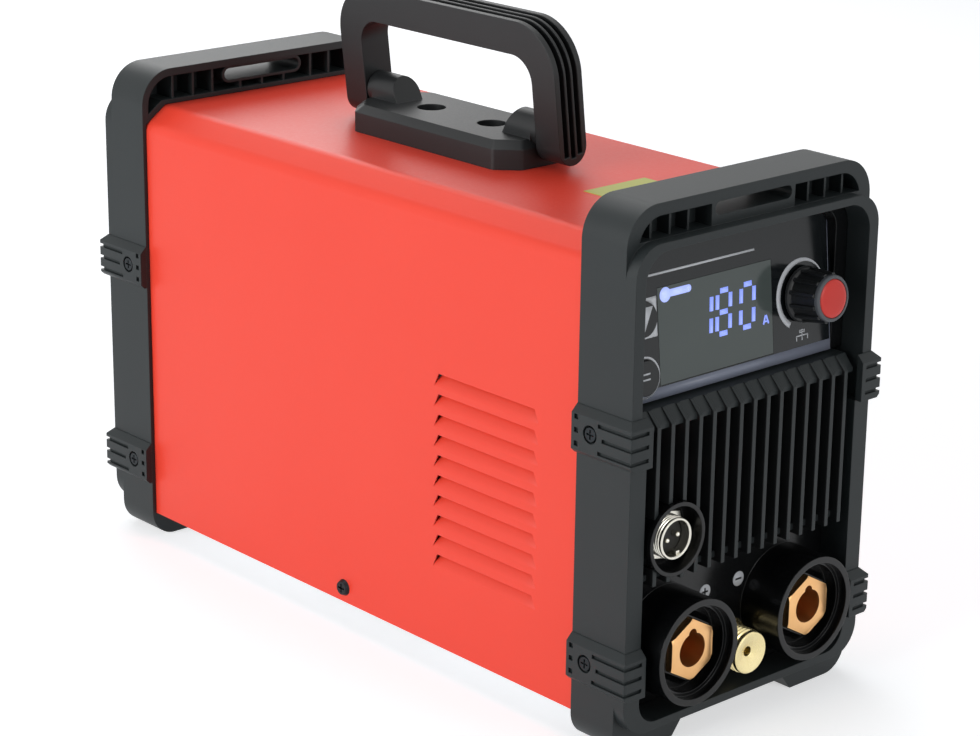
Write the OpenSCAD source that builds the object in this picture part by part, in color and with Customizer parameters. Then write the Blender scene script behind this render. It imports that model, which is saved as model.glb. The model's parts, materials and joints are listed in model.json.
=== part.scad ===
// Stick welding inverter: steel case between two plastic end frames.
// X is the width, Y the depth (front at -Y), Z up. The feet stand on Z = 0, and
// the origin is under the middle of the case. All sizes are in millimetres.

/* [Case] */
// Width over the end frames
body_w = 125; // [100:1:160]
// Depth over the end frames
body_l = 314; // [260:1:400]
// Height of the end frames
body_h = 203.5; // [190:0.5:250]
// Depth of one end frame
frame_d = 27; // [24:0.5:36]
// How far the cap and the feet of a frame stand back from its middle
frame_step = 5; // [2:0.5:6]
// Height of the feet
foot_h = 9; // [6:0.5:12]
// Sheet thickness of the cover and the tray
sheet = 1.2; // [0.8:0.1:2]
// How far the cover stands in from the side of a frame
cover_inset = 1.8; // [1.5:0.1:3]

/* [Louvres] */
// Louvres in each side of the cover
louvre_count = 10; // [2:1:10]
// Distance from one louvre to the next
louvre_pitch = 8; // [7:0.1:9]
// Length of a louvre along its hinge edge
louvre_l = 57.6; // [30:0.1:70]

/* [Front] */
// Backward tilt of the display panel in degrees
panel_tilt = 5.7; // [0:0.1:8]
// Width of the display panel
panel_w = 105; // [100:1:107]
// Bars in the grille
bar_count = 15; // [7:2:15]
// Distance from one grille bar to the next
bar_pitch = 7; // [6:0.1:7.2]
// Thickness of a grille bar
bar_t = 1.8; // [1.2:0.1:2.4]

/* [Connectors] */
// Bore of an output socket
socket_bore_d = 13; // [9:0.5:14]
// Distance between the output sockets
socket_gap = 62; // [54:1:70]
// Outer diameter of a socket collar
collar_d = 40.4; // [38:0.2:44]
// Thread diameter of the gas outlet
gas_thread_d = 17; // [12:0.5:18]
// Thread diameter of the torch control connector
torch_thread_d = 16; // [12:0.5:17]

/* [Handle] */
// Height of the pivot above the floor
pivot_z = 202.4; // [198:0.1:210]
// Length of the handle over its legs
handle_l = 125.6; // [110:1:150]
// Thickness of the handle across the case
handle_t = 14; // [10:0.5:16]
// Thickness of a handle leg along the case
leg_t = 13; // [9:0.5:16]
// Height of the grip's top above the pivot
handle_rise = 43.2; // [38:0.5:60]
// Lean of the handle at rest in degrees
handle_lean = 6.9; // [0:0.1:12]
// Diameter of a handle pin
handle_pin_d = 5; // [4:0.5:6]

/* [Fan] */
// Side of the square fan housing
fan_size = 92; // [80:1:92]
// Depth of the fan housing
fan_d = 25; // [20:1:30]
// Blades of the rotor
blade_count = 7; // [5:1:9]

/* [Hidden] */
$fn = 64;

// clearances
seat_gap = 0.15;                        // between a moulding and what sits in it
run_gap = 0.05;                         // radial, between a pin and its bore
eps = 0.5;                              // how far a cutter passes the face it cuts

// case
half_w = body_w / 2;
half_l = body_l / 2;
face_y = -half_l;                       // foremost face of the front frame
step_y = face_y + frame_step;           // face of the cap and the feet
back_y = face_y + frame_d;              // inward edge of the front frame
rim = 4.8;                              // width of the upper rim of a frame
rim_low = 7.7;                          // width of the lower rim
rim_z = body_h - 91.5;                  // height where the rim changes width
cap_h = 12.6;                           // height of the cap above the opening rim
rail_t = 3.2;                           // bottom rail under the opening
open_z0 = foot_h + rail_t;
open_z1 = body_h - 15.5;
open_w = body_w - 2 * rim;
cover_w = body_w - 2 * cover_inset;
cover_z0 = foot_h + 1.9;
cover_z1 = body_h - 14.9;
chamfer_x = 9.9;
chamfer_z = 7.3;
cover_end = half_l - 15.5;              // the cover ends here, front and rear
plate_y = face_y + 12.8;                // front face of the front panel's plate
plate_t = 2.5;

// display panel, as heights along its own tilted plane from its middle
panel_z0 = 130.3;
panel_z1 = open_z1 - 3.8;
panel_mid = (panel_z0 + panel_z1) / 2;
panel_h = (panel_z1 - panel_z0) / cos(panel_tilt);
panel_t = 2.5;
panel_y = plate_y;
panel_x = -1.5;                         // middle of the panel, left of the case's middle
lcd_w = 58.5;
lcd_h = 35.2;
lcd_x = -9;
lcd_v = 152.2 - panel_mid;
lcd_t = 1.4;
lcd_margin = 3;                         // rim that carries the LCD window
knob_x = 36.1;
knob_v = 154 - panel_mid;
knob_d = 21;
knob_h = 14.6;
knob_lift = 1;                          // height of the knob's skirt above the panel
knob_travel = 0.6;
cap_d = 14.4;
shaft_d = 6;
button_x = -46;
button_v = [160 - panel_mid, 139 - panel_mid];
button_d = 12.6;
button_travel = 0.8;
button_flange = 0.8;
board_gap = 7.5;                        // from the panel's back to the control board
board_t = 1.6;

// grille
bar_y = face_y;
bar_z0 = 65;
bar_z1 = 129.4;
bar_chamfer = 5;
grille_w = 108.4;
slat_z = [70.2, 87.7, 105];

// connectors
socket_x = [-socket_gap / 2, socket_gap / 2];
socket_z = 36.5;
collar_y = face_y - 6.1;
collar_wall = 2.4;
ledge_y = collar_y + 3.6;               // step inside a collar
ledge_w = 1.5;
brass_y = collar_y + 3.4;
collar_floor = collar_y + 9;
hex_af = 20.8;
seat_y = brass_y + 2.6;                 // front of the seat that holds the brass
keyway_r = 2;
socket_back = plate_y + 22;
torch_x = -39.5;
torch_z = 81;
torch_collar_d = 27.6;
torch_collar_y = face_y - 1.7;
torch_wall = 1.5;
torch_floor = plate_y - 5.5;
torch_flange = 1;                       // thickness of the connector's flange
gas_z = 26.5;
gas_y = face_y - 3.2;
gas_hole_r = 1.9;

// bumpers
bumper_h = 17.8;
bumper_t = 2.9;
bumper_cover = 7.7;                     // how far one laps the front of the rim
bumper_z = [25.1, 111.9];
groove_pitch = 5;
groove_h = 1.5;
groove_t = 1.1;
screw_back = 9.3;                       // bumper screw, from the frame's inward edge

// handle
handle_y = 3.4;
base_l = 97.4;
base_w = 40.8;
base_h = 10.9;
base_edge = 2.6;                        // chamfer along the top of the base
base_corner = 6.5;                      // cut of the base's corners
base_r = 2.5;
bail_gap = 0.35;                        // between the legs and the base's ends
barrel_r = 6.7;
barrel_l = 18.4;
hole_gap = 35.6;
hole_r = 5.8;
leg_drop = 11.4;                        // leg below the pivot
grip_t = 13.4;
bail_r = 20;                            // outer corners of the handle
leg_in = handle_l / 2 - leg_t;          // inner face of a leg, from the handle's middle

// rear panel
rear_y = -plate_y;                      // outer face of the rear panel
rear_t = 2.5;
fan_z = 78;
fan_hole_r = fan_size / 2 - 4;
fan_y1 = rear_y - rear_t;               // the fan sits against the rear panel
switch_x = -26;
switch_z = 157;
switch_w = 21;
switch_h = 15;
rocker_tilt = 10;
rocker_pin_r = 1.2;
gland_x = 26;
gland_z = 157;
gland_d = 20;
inlet_x = 38;
inlet_z = 134;
inlet_end = -collar_y;                  // as far out as the socket collars in front

// inside
tray_z = cover_z0;
floor_z = tray_z + sheet;
standoff_h = 7;
board_z = floor_z + standoff_h;
board_w = 104;
board_y = [face_y + 39, -face_y - 61];

charcoal = "#33383a";
black = "#16181a";
red = "#f04a38";
brass = "#cf9f62";
steel = "#b9bcbe";

// ---------- helpers ----------

// Extrude an XZ outline along Y from y0 to y1
module along_y(y0, y1) {
    translate([0, y1, 0]) rotate([90, 0, 0]) linear_extrude(y1 - y0) children();
}

// Extrude a YZ outline along X from x0 to x1
module along_x(x0, x1) {
    translate([x0, 0, 0]) rotate([90, 0, 90]) linear_extrude(x1 - x0) children();
}

// Cylinder along Y
module rod_y(x, z, y0, y1, r) {
    translate([x, y1, z]) rotate([90, 0, 0]) cylinder(h = y1 - y0, r = r);
}

// Rectangle from (x0, z0) to (x1, z1) with its own corner radii, left and right alike
module soft_rect(x0, z0, x1, z1, r_low, r_high) {
    union() {
        translate([x0 + r_low, z0]) square([x1 - x0 - 2 * r_low, z1 - z0 - r_high]);
        translate([x0 + r_high, z1 - r_high - 0.01])
            square([x1 - x0 - 2 * r_high, r_high + 0.01]);
        translate([x0, z0 + r_low]) square([x1 - x0, z1 - z0 - r_low - r_high]);
        for (x = [x0 + r_low, x1 - r_low]) translate([x, z0 + r_low]) circle(r_low);
        for (x = [x0 + r_high, x1 - r_high]) translate([x, z1 - r_high]) circle(r_high);
    }
}

module hexagon_y(x, z, y0, y1, af) {
    along_y(y0, y1) translate([x, z]) rotate(30) circle(d = af / cos(30), $fn = 6);
}

// Pan-head screw along +Z with its head on Z = 0 and its shank below
module pan_screw(head_r, head_h, shank_r, shank_l) {
    difference() {
        union() {
            cylinder(h = head_h, r1 = head_r, r2 = head_r * 0.8);
            translate([0, 0, -shank_l]) cylinder(h = shank_l + 0.01, r = shank_r);
        }
        for (a = [0, 90]) rotate(a)
            translate([-head_r * 0.55, -head_r * 0.1, head_h * 0.4])
                cube([head_r * 1.1, head_r * 0.2, head_h]);
    }
}

// Both sides of the case
module both_sides() {
    children();
    mirror([1, 0, 0]) children();
}

// Both ends of the case
module both_ends() {
    children();
    mirror([0, 1, 0]) children();
}

// Place a child on the display panel: its XZ outline plane is the panel's face,
// and -Y points out of the panel
module on_panel() {
    translate([0, panel_y, panel_mid]) rotate([-panel_tilt, 0, 0]) children();
}

// ---------- case ----------

// Outline of the cover in XZ, moved out by d
module cover_outline(d) {
    w = cover_w / 2 + d;
    z0 = cover_z0 - d;
    z1 = cover_z1 + d;
    polygon([[-w, z0], [w, z0], [w, z1 - chamfer_z], [w - chamfer_x, z1],
             [-w + chamfer_x, z1], [-w, z1 - chamfer_z]]);
}

module chassis_tray() {
    inner = cover_w / 2 - sheet;
    flange = 15;
    vent_gap = 14;
    color(steel) difference() {
        union() {
            translate([-inner, -cover_end, tray_z]) cube([2 * inner, 2 * cover_end, sheet]);
            for (x = [-inner, inner - sheet])
                translate([x, -cover_end, tray_z]) cube([sheet, 2 * cover_end, flange]);
        }
        for (y = [-2 : 2]) for (x = [-40, 0, 40])
            translate([x - 9, y * vent_gap - 2, tray_z - eps]) cube([18, 4, sheet + 2 * eps]);
        for (s = [-1, 1]) translate([0, cover_screw_y, cover_screw_z]) rotate([0, s * 90, 0])
            cylinder(h = half_w, r = cover_screw_r);
    }
}

cover_screw_r = 1.9;
cover_screw_y = 2.3;
cover_screw_z = cover_z0 + 6.2;

// One louvre opening as a YZ outline, hinge edge at the bottom
louvre_h = 5.6;
louvre_slant = 2.6;
louvre_push = 38;                       // how far a flap is pressed in, in degrees
louvre_y = -79.9;                       // middle of the louvres along Y
louvre_top = 120.5;
module louvre_outline(d) {
    l = louvre_l / 2 - d;
    polygon([[-l, d], [l, d], [l - louvre_slant, louvre_h - d], [-l + louvre_slant, louvre_h - d]]);
}

module louvres_place() {
    for (i = [0 : louvre_count - 1])
        translate([0, louvre_y, louvre_top - louvre_h - i * louvre_pitch]) children();
}

module shell_cover() {
    w = cover_w / 2;
    color(red) union() {
        difference() {
            along_y(-cover_end, cover_end) cover_outline(0);
            along_y(-cover_end - eps, cover_end + eps) difference() {
                cover_outline(-sheet);
                translate([-half_w, 0]) square([body_w, cover_z0 + sheet]);
            }
            translate([-w + sheet, -half_l, cover_z0 - eps])
                cube([cover_w - 2 * sheet, body_l, 2 * sheet + eps]);
            both_sides() louvres_place() along_x(w - sheet - eps, w + eps) louvre_outline(0);
            for (s = [-1, 1]) translate([0, cover_screw_y, cover_screw_z])
                rotate([0, s * 90, 0]) cylinder(h = half_w, r = cover_screw_r);
            for (i = [-1, 1]) translate([0, handle_y + i * hole_gap / 2, cover_z1 - 2 * sheet])
                cylinder(h = 4 * sheet, r = handle_screw_r + 0.2);
            both_ends() for (z = bumper_z)
                translate([-half_w, back_y - screw_back, z + bumper_h / 2]) rotate([0, 90, 0])
                    cylinder(h = body_w, r = bumper_screw_r);
        }
        both_sides() louvres_place() translate([w - sheet, 0, 0]) rotate([0, -louvre_push, 0])
            along_x(0, sheet) translate([0, -0.4]) louvre_outline(0);
    }
}

// Fixing screws in the middle of the cover's sides
module cover_screws() {
    color(black) for (s = [-1, 1])
        translate([s * cover_w / 2, cover_screw_y, cover_screw_z]) rotate([0, s * 90, 0])
            pan_screw(3.4, 1.6, cover_screw_r, 7);
}

// ---------- end frames ----------

corner_top = 14.5;
corner_foot = 11;
corner_mid = 12;
foot_in = 32;                           // inner edge of a foot's sole
foot_slope = 7;

module foot_gap_outline() {
    polygon([[-foot_in, -eps], [foot_in, -eps], [foot_in, 0], [foot_in - foot_slope, foot_h],
             [-foot_in + foot_slope, foot_h], [-foot_in, 0]]);
}

rib_x = [30.8, 39.8, 49.2];
window_in = 21.4;
window_t = 8;                           // depth of a window pocket
rib_t = 1;
slot_w = 39.4;
slot_h = 4.9;
slot_z = body_h - 6.7;
skin = 4.5;                             // top wall of the cap

// One window of the cap, from window_in to the corner, as an XZ outline
module window_outline() {
    intersection() {
        translate([window_in, body_h - cap_h + 0.1]) square([half_w, cap_h - skin - 0.1]);
        soft_rect(-half_w + 5.8, 0, half_w - 5.8, body_h - skin, 1, corner_top - 4);
    }
}

// Hollow on the inward side of a frame's cap, above the cover
cell_x = [0, 11.5, 26, 36, 46.4];
module cell_outline() {
    difference() {
        soft_rect(-half_w + 3, 0, half_w - 3, body_h - 3.2, 1, corner_top - 3);
        cover_outline(2);
        translate([-half_w, 0]) square([body_w, cover_z1 - chamfer_z - 8]);
    }
}

module slot_outline(d) {
    r = slot_h / 2 + d;
    x = slot_w / 2 - slot_h / 2;
    translate([-x, slot_z - r]) square([2 * x, 2 * r]);
    for (s = [-1, 1]) translate([s * x, slot_z]) circle(r);
}

module end_frame() {
    color(charcoal) difference() {
        union() {
            along_y(face_y, back_y)
                soft_rect(-half_w, foot_h, half_w, body_h - cap_h, corner_mid, corner_mid);
            along_y(step_y, back_y) difference() {
                soft_rect(-half_w, 0, half_w, body_h, corner_foot, corner_top);
                foot_gap_outline();
            }
        }
        // opening, narrower in the lower half of the rim
        along_y(face_y - eps, back_y + eps)
            soft_rect(-open_w / 2, rim_z, open_w / 2, open_z1, 0.5, corner_mid - 1);
        along_y(face_y - eps, plate_y + 0.01)
            soft_rect(-half_w + rim_low, open_z0, half_w - rim_low, rim_z + 6, 9, 0.5);
        along_y(plate_y, back_y + eps)
            soft_rect(-open_w / 2, open_z0, open_w / 2, rim_z + 6, 1, 0.5);
        // seat of the cover
        along_y(-cover_end - seat_gap, back_y + eps) cover_outline(seat_gap);
        // windows with their ribs
        for (m = [0, 1]) mirror([m, 0, 0]) difference() {
            along_y(step_y - eps, step_y + window_t) window_outline();
            for (x = rib_x) translate([x - rib_t / 2, step_y + 2.2, body_h - cap_h - eps])
                cube([rib_t, window_t + eps, cap_h]);
        }
        // cells on the inward side
        difference() {
            along_y(step_y + window_t + 2.4, back_y + eps) cell_outline();
            for (m = [0, 1]) mirror([m, 0, 0]) for (x = cell_x)
                translate([x - rib_t / 2, step_y, cover_z1]) cube([rib_t, frame_d - frame_step - 1, 30]);
            along_y(step_y, back_y - 1) slot_outline(1.2);
        }
        along_y(step_y - eps, back_y + eps) slot_outline(0);
        // bumper screw holes
        for (s = [-1, 1]) for (z = bumper_z)
            translate([s * (half_w - 4), back_y - screw_back, z + bumper_h / 2])
                rotate([0, s * 90, 0]) cylinder(h = 8, r = bumper_screw_r);
    }
}

bumper_screw_r = 1.5;

module front_frame() end_frame();

module rear_frame() mirror([0, 1, 0]) end_frame();

// ---------- bumpers ----------

// Front right corner guard, its underside at Z = 0
module bumper_body() {
    x0 = half_w - bumper_cover;
    x1 = half_w + bumper_t;
    y0 = face_y - bumper_t;
    cut = bumper_t - 0.2;
    cut_low = 1.6;
    corner_r = 0.5;
    difference() {
        linear_extrude(bumper_h) difference() {
            union() {
                translate([x0, y0]) square([x1 - x0 - corner_r, bumper_t + 0.01]);
                translate([half_w, y0 + corner_r]) square([bumper_t, back_y - y0 - corner_r]);
                translate([x1 - corner_r, y0 + corner_r]) circle(corner_r);
            }
            translate([0, face_y]) square([half_w, body_l]);
        }
        // chamfer along the top, on the side and on the front
        along_y(-half_l - body_w, half_l) polygon([[x1 - cut - 1, bumper_h + 1],
            [x1 + 1, bumper_h - cut - 1], [x1 + 1, bumper_h + 1]]);
        along_x(-body_w, body_w) polygon([[y0 + cut + 1, bumper_h + 1],
            [y0 - 1, bumper_h - cut - 1], [y0 - 1, bumper_h + 1]]);
        // smaller one below, on the side
        along_y(-half_l - body_w, half_l) polygon([[x1 - cut_low - 1, -1],
            [x1 + 1, cut_low + 1], [x1 + 1, -1]]);
        // three grooves round the corner
        for (i = [0 : 2]) {
            z = 2.4 + i * groove_pitch;
            back = [13.2, 15.2, 13.2][i];
            translate([x1 - groove_t, y0 - eps, z])
                cube([groove_t + eps, back_y - back - y0 + eps, groove_h]);
            translate([x0 + 2, y0 - eps, z]) cube([x1 - x0 - 2 + eps, groove_t + eps, groove_h]);
        }
        // three short windows behind the screw
        for (i = [0 : 2]) translate([x1 - groove_t, back_y - 3.4, 3 + i * groove_pitch])
            cube([groove_t + eps, 2, groove_h + 0.4]);
        // screw
        translate([half_w - eps, back_y - screw_back, bumper_h / 2]) rotate([0, 90, 0])
            cylinder(h = bumper_t + 2 * eps, r = bumper_screw_r);
        translate([x1 - 1.2, back_y - screw_back, bumper_h / 2]) rotate([0, 90, 0])
            cylinder(h = 2, r = 3.4);
    }
}

module bumper(side, end, level) {
    color(charcoal) scale([side, end, 1]) translate([0, 0, bumper_z[level]]) bumper_body();
}

module bumper_front_left_upper() bumper(-1, 1, 1);
module bumper_front_left_lower() bumper(-1, 1, 0);
module bumper_front_right_upper() bumper(1, 1, 1);
module bumper_front_right_lower() bumper(1, 1, 0);
module bumper_rear_left_upper() bumper(-1, -1, 1);
module bumper_rear_left_lower() bumper(-1, -1, 0);
module bumper_rear_right_upper() bumper(1, -1, 1);
module bumper_rear_right_lower() bumper(1, -1, 0);

module bumper_screws() {
    color(black) both_ends() for (s = [-1, 1]) for (z = bumper_z)
        translate([s * (half_w + bumper_t - 1.2), back_y - screw_back, z + bumper_h / 2])
            rotate([0, s * 90, 0]) pan_screw(3.2, 1.1, bumper_screw_r - run_gap, 4.8);
}

// ---------- front ----------

module ring_y(x, z, y0, y1, r, wall) {
    difference() {
        rod_y(x, z, y0, y1, r);
        rod_y(x, z, y0 - eps, y1 + eps, r - wall);
    }
}

module front_panel() {
    d = seat_gap;
    color(black) difference() {
        union() {
            along_y(plate_y, plate_y + plate_t)
                soft_rect(-open_w / 2 + d, open_z0 + d, open_w / 2 - d, open_z1 - d, 1, corner_mid - 1.2);
            // surround of the display panel
            along_y(plate_y - 2.4, plate_y + plate_t) difference() {
                soft_rect(-open_w / 2 + d, rim_z + 8, open_w / 2 - d, open_z1 - d, 1, corner_mid - 1.2);
                translate([-open_w / 2, rim_z]) square([open_w, panel_z0 - rim_z]);
            }
            for (x = socket_x) rod_y(x, socket_z, collar_y, plate_y + 0.01, collar_d / 2);
            rod_y(torch_x, torch_z, torch_collar_y, plate_y + 0.01, torch_collar_d / 2);
        }
        for (x = socket_x) {
            rod_y(x, socket_z, collar_y - eps, ledge_y, collar_d / 2 - collar_wall);
            difference() {
                rod_y(x, socket_z, ledge_y - eps, collar_floor, collar_d / 2 - collar_wall - ledge_w);
                // six-sided seat around the brass
                translate([x, collar_floor, socket_z]) rotate([90, 30, 0])
                    cylinder(h = collar_floor - seat_y, r1 = hex_af * 0.74, r2 = hex_af * 0.62, $fn = 6);
            }
            hexagon_y(x, socket_z, collar_y, plate_y + plate_t + eps, hex_af + 2 * seat_gap);
        }
        rod_y(torch_x, torch_z, torch_collar_y - eps, torch_floor, torch_collar_d / 2 - torch_wall);
        rod_y(torch_x, torch_z, torch_floor - eps, plate_y + plate_t + eps, torch_thread_d / 2 + run_gap);
        rod_y(0, gas_z, plate_y - eps, plate_y + plate_t + eps, gas_thread_d / 2 + run_gap);
        // air way behind the grille
        difference() {
            along_y(plate_y - eps, plate_y + plate_t + eps)
                soft_rect(-50, bar_z0 + 4, 50, panel_z0 - 7, 2, 2);
            rod_y(torch_x, torch_z, plate_y - 2 * eps, plate_y + plate_t + 2 * eps, torch_collar_d / 2 + 2);
        }
        // the display panel sits in this opening
        on_panel() along_y(-8, 12) translate([panel_x, 0])
            soft_rect(-panel_w / 2 - d, -panel_h / 2 - d, panel_w / 2 + d, panel_h / 2 + d, 1.5, 8);
    }
}

module front_grille() {
    last = (bar_count - 1) / 2;
    side = grille_w / 2;
    color(charcoal) difference() {
        union() {
            for (i = [-last : last]) along_x(i * bar_pitch - bar_t / 2, i * bar_pitch + bar_t / 2)
                polygon([[bar_y, bar_z0], [plate_y, bar_z0], [plate_y, bar_z1],
                         [bar_y + bar_chamfer, bar_z1], [bar_y, bar_z1 - bar_chamfer]]);
            // top web, set back a little from the bars
            along_x(-side, side)
                polygon([[plate_y, bar_z1], [bar_y + bar_chamfer + 0.6, bar_z1],
                         [bar_y + 1.4, bar_z1 - 4.8], [bar_y + 1.4, bar_z1 - 6.4],
                         [bar_y + 3.4, bar_z1 - 6.4], [plate_y, bar_z1 - 4]]);
            // bottom web
            along_x(-side, side) translate([bar_y + 3.4, bar_z0 + 1.4])
                square([plate_y - bar_y - 3.4, 2.4]);
            // side posts
            for (s = [-1, 1]) translate([s * (side - 0.9) - 0.9, plate_y - 6, bar_z0 + 1.4])
                cube([1.8, 6, bar_z1 - bar_z0 - 1.4]);
            // slanted slats behind the bars
            for (z = slat_z) along_x(-side, side)
                polygon([[plate_y - 7.5, z], [plate_y - 7.5, z + 1.6], [plate_y, z + 8], [plate_y, z + 6]]);
        }
        rod_y(torch_x, torch_z, bar_y - eps, plate_y + eps, torch_collar_d / 2 + seat_gap);
    }
}

module display_panel() {
    color(black) on_panel() difference() {
        along_y(0, panel_t) translate([panel_x, 0])
            soft_rect(-panel_w / 2, -panel_h / 2, panel_w / 2, panel_h / 2, 1.3, 7.8);
        along_y(-eps, lcd_t) translate([lcd_x - lcd_w / 2, lcd_v - lcd_h / 2]) square([lcd_w, lcd_h]);
        along_y(-eps, panel_t + eps)
            translate([lcd_x - lcd_w / 2 + lcd_margin, lcd_v - lcd_h / 2 + lcd_margin])
                square([lcd_w - 2 * lcd_margin, lcd_h - 2 * lcd_margin]);
        for (v = button_v) rod_y(button_x, v, -eps, panel_t + eps, button_d / 2 + 0.2);
        rod_y(knob_x, knob_v, -eps, panel_t + eps, 3.6);
    }
}

module lcd_window() {
    color("#525a58") on_panel() along_y(0, lcd_t)
        translate([lcd_x - lcd_w / 2 + seat_gap, lcd_v - lcd_h / 2 + seat_gap])
            square([lcd_w - 2 * seat_gap, lcd_h - 2 * seat_gap]);
}

module lcd_module() {
    color("#8d9690") on_panel() along_y(panel_t, panel_t + board_gap)
        translate([lcd_x - lcd_w / 2 + 1, lcd_v - lcd_h / 2 + 1]) square([lcd_w - 2, lcd_h - 2]);
}

module control_knob() {
    ribs = 12;
    front = -knob_lift - knob_h;
    color(black) on_panel() translate([knob_x, 0, knob_v]) difference() {
        union() {
            translate([0, -knob_lift, 0]) rotate([90, 0, 0])
                cylinder(h = knob_h, r1 = knob_d / 2 - 0.8, r2 = cap_d / 2 + 1);
            translate([0, -knob_lift, 0]) rotate([90, 0, 0]) cylinder(h = 1.6, r = knob_d / 2);
            for (i = [0 : ribs - 1]) rotate([0, i * 360 / ribs, 0])
                translate([-0.7, front + 0.8, cap_d / 2 - 1.4]) cube([1.4, knob_h - 1, 3.2]);
        }
        // recess of the cap, and the blind bore on the shaft
        rod_y(0, 0, front - eps, front + 1.6, cap_d / 2 + run_gap);
        rod_y(0, 0, -9.5, -knob_lift + eps, shaft_d / 2);
        rod_y(0, 0, -knob_lift - 1.4, -knob_lift + eps, 6);
    }
}

module knob_cap() {
    front = -knob_lift - knob_h;
    color("#d8382c") on_panel() translate([knob_x, 0, knob_v]) union() {
        rod_y(0, 0, front + 0.2, front + 1.6, cap_d / 2);
        translate([0, front + 0.2, 0]) rotate([90, 0, 0])
            cylinder(h = 0.5, r1 = cap_d / 2, r2 = cap_d / 2 - 0.6);
    }
}

encoder_back = panel_t + board_gap;
plunger_t = 1.2;
pin_r = shaft_d / 2 - 0.5;              // the shaft is thinner inside the encoder

module encoder_body() {
    color(steel) on_panel() translate([knob_x, 0, knob_v]) difference() {
        union() {
            translate([-6, panel_t, -6.5]) cube([12, board_gap, 13]);
            rod_y(0, 0, -0.2, panel_t + 0.01, 3.5);
        }
        rod_y(0, 0, -1, encoder_back - 1, pin_r + run_gap);
        rod_y(0, 0, encoder_back - 4, encoder_back - 1, 4 + run_gap);
    }
}

// Disc behind the shaft that carries its push into the encoder's switch
module encoder_plunger() {
    color(steel) on_panel() translate([knob_x, 0, knob_v])
        rod_y(0, 0, encoder_back - 1.1 - knob_travel - plunger_t, encoder_back - 1.1 - knob_travel, 4);
}

module encoder_shaft() {
    color(steel) on_panel() translate([knob_x, 0, knob_v]) union() {
        rod_y(0, 0, -9.5, -knob_lift, shaft_d / 2);
        rod_y(0, 0, -knob_lift - 0.01, encoder_back - 1.15 - knob_travel - plunger_t, pin_r);
    }
}

module push_button(v) {
    y = panel_t + 0.05;
    color(black) on_panel() translate([button_x, 0, v]) union() {
        rod_y(0, 0, -1.2, y + 0.01, button_d / 2);
        rod_y(0, 0, y, y + 1, button_d / 2 + button_flange);
        rod_y(0, 0, y, encoder_back - 4.5 - button_travel, 1.6);
    }
}

module mode_button() push_button(button_v[0]);
module select_button() push_button(button_v[1]);

module button_switches() {
    color(steel) on_panel() for (v = button_v)
        translate([button_x - 3, panel_t + board_gap - 4.3, v - 3]) cube([6, 4.3, 6]);
}

module control_board() {
    y = panel_t + board_gap;
    color("#1d6b3c") on_panel() difference() {
        along_y(y, y + board_t)
            translate([panel_x - panel_w / 2 + 1, -panel_h / 2 + 2]) square([panel_w - 2, panel_h - 6]);
        for (x = [-1, 1]) for (z = [-1, 1])
            rod_y(panel_x + x * (panel_w / 2 - 5), z * (panel_h / 2 - 8), y - eps, y + board_t + eps, 1.6);
    }
}

module output_socket(x) {
    hex_l = plate_y + plate_t - brass_y;
    color(brass) difference() {
        union() {
            // hexagon with its corners turned off at the front
            intersection() {
                hexagon_y(x, socket_z, brass_y, plate_y + plate_t, hex_af);
                translate([x, plate_y + plate_t, socket_z]) rotate([90, 0, 0])
                    cylinder(h = hex_l, r1 = hex_af * 0.54 + hex_l * tan(60), r2 = hex_af * 0.54);
            }
            rod_y(x, socket_z, plate_y + plate_t - 0.01, socket_back, 8);
            rod_y(x, socket_z, socket_back - 0.01, socket_back + 12, 4);
        }
        rod_y(x, socket_z, brass_y - eps, socket_back - 4, socket_bore_d / 2);
        // keyway above the bore
        rod_y(x, socket_z + socket_bore_d / 2 - 0.3, brass_y - eps, brass_y + 8.5, keyway_r);
    }
}

module negative_socket() output_socket(socket_x[1]);
module positive_socket() output_socket(socket_x[0]);

module panel_nuts() {
    y = plate_y + plate_t;
    color(steel) {
        for (x = socket_x) difference() {
            hexagon_y(x, socket_z, y, y + 5, 24);
            rod_y(x, socket_z, y - eps, y + 5 + eps, 8 + run_gap);
        }
        difference() {
            hexagon_y(0, gas_z, y, y + 4, 22);
            rod_y(0, gas_z, y - eps, y + 4 + eps, gas_thread_d / 2 + run_gap);
        }
        difference() {
            hexagon_y(torch_x, torch_z, y, y + 3, 19);
            rod_y(torch_x, torch_z, y - eps, y + 3 + eps, torch_thread_d / 2 + run_gap);
        }
        difference() {
            hexagon_y(gland_x, gland_z, fan_y1 - 4, fan_y1, 26);
            rod_y(gland_x, gland_z, fan_y1 - 4 - eps, fan_y1 + eps, gland_d / 2 + run_gap);
        }
    }
}

module gas_outlet() {
    color("#d8c98a") difference() {
        union() {
            rod_y(0, gas_z, gas_y, plate_y + plate_t + 5, gas_thread_d / 2);
            rod_y(0, gas_z, plate_y - 2, plate_y, gas_thread_d / 2 + 1.5);
            rod_y(0, gas_z, plate_y + plate_t + 4.9, barb_end, 3);
        }
        translate([0, gas_y + 2, gas_z]) rotate([90, 0, 0])
            cylinder(h = 2.1, r1 = gas_hole_r, r2 = gas_thread_d / 2 - 1);
        rod_y(0, gas_z, gas_y, barb_end + eps, gas_hole_r);
    }
}

module torch_connector_shell() {
    y = torch_collar_y + 0.7;
    color(steel) difference() {
        union() {
            rod_y(torch_x, torch_z, y, plate_y + plate_t + 4, torch_thread_d / 2);
            rod_y(torch_x, torch_z, torch_floor - torch_flange, torch_floor, torch_thread_d / 2 + 1.5);
        }
        rod_y(torch_x, torch_z, y - eps, torch_floor - 2, torch_thread_d / 2 - 1.4);
        rod_y(torch_x, torch_z, torch_floor, plate_y + plate_t + 5, 5.5 + run_gap);
        rod_y(torch_x, torch_z, torch_floor - 3, torch_floor + 1, 5.5 + run_gap);
    }
}

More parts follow.
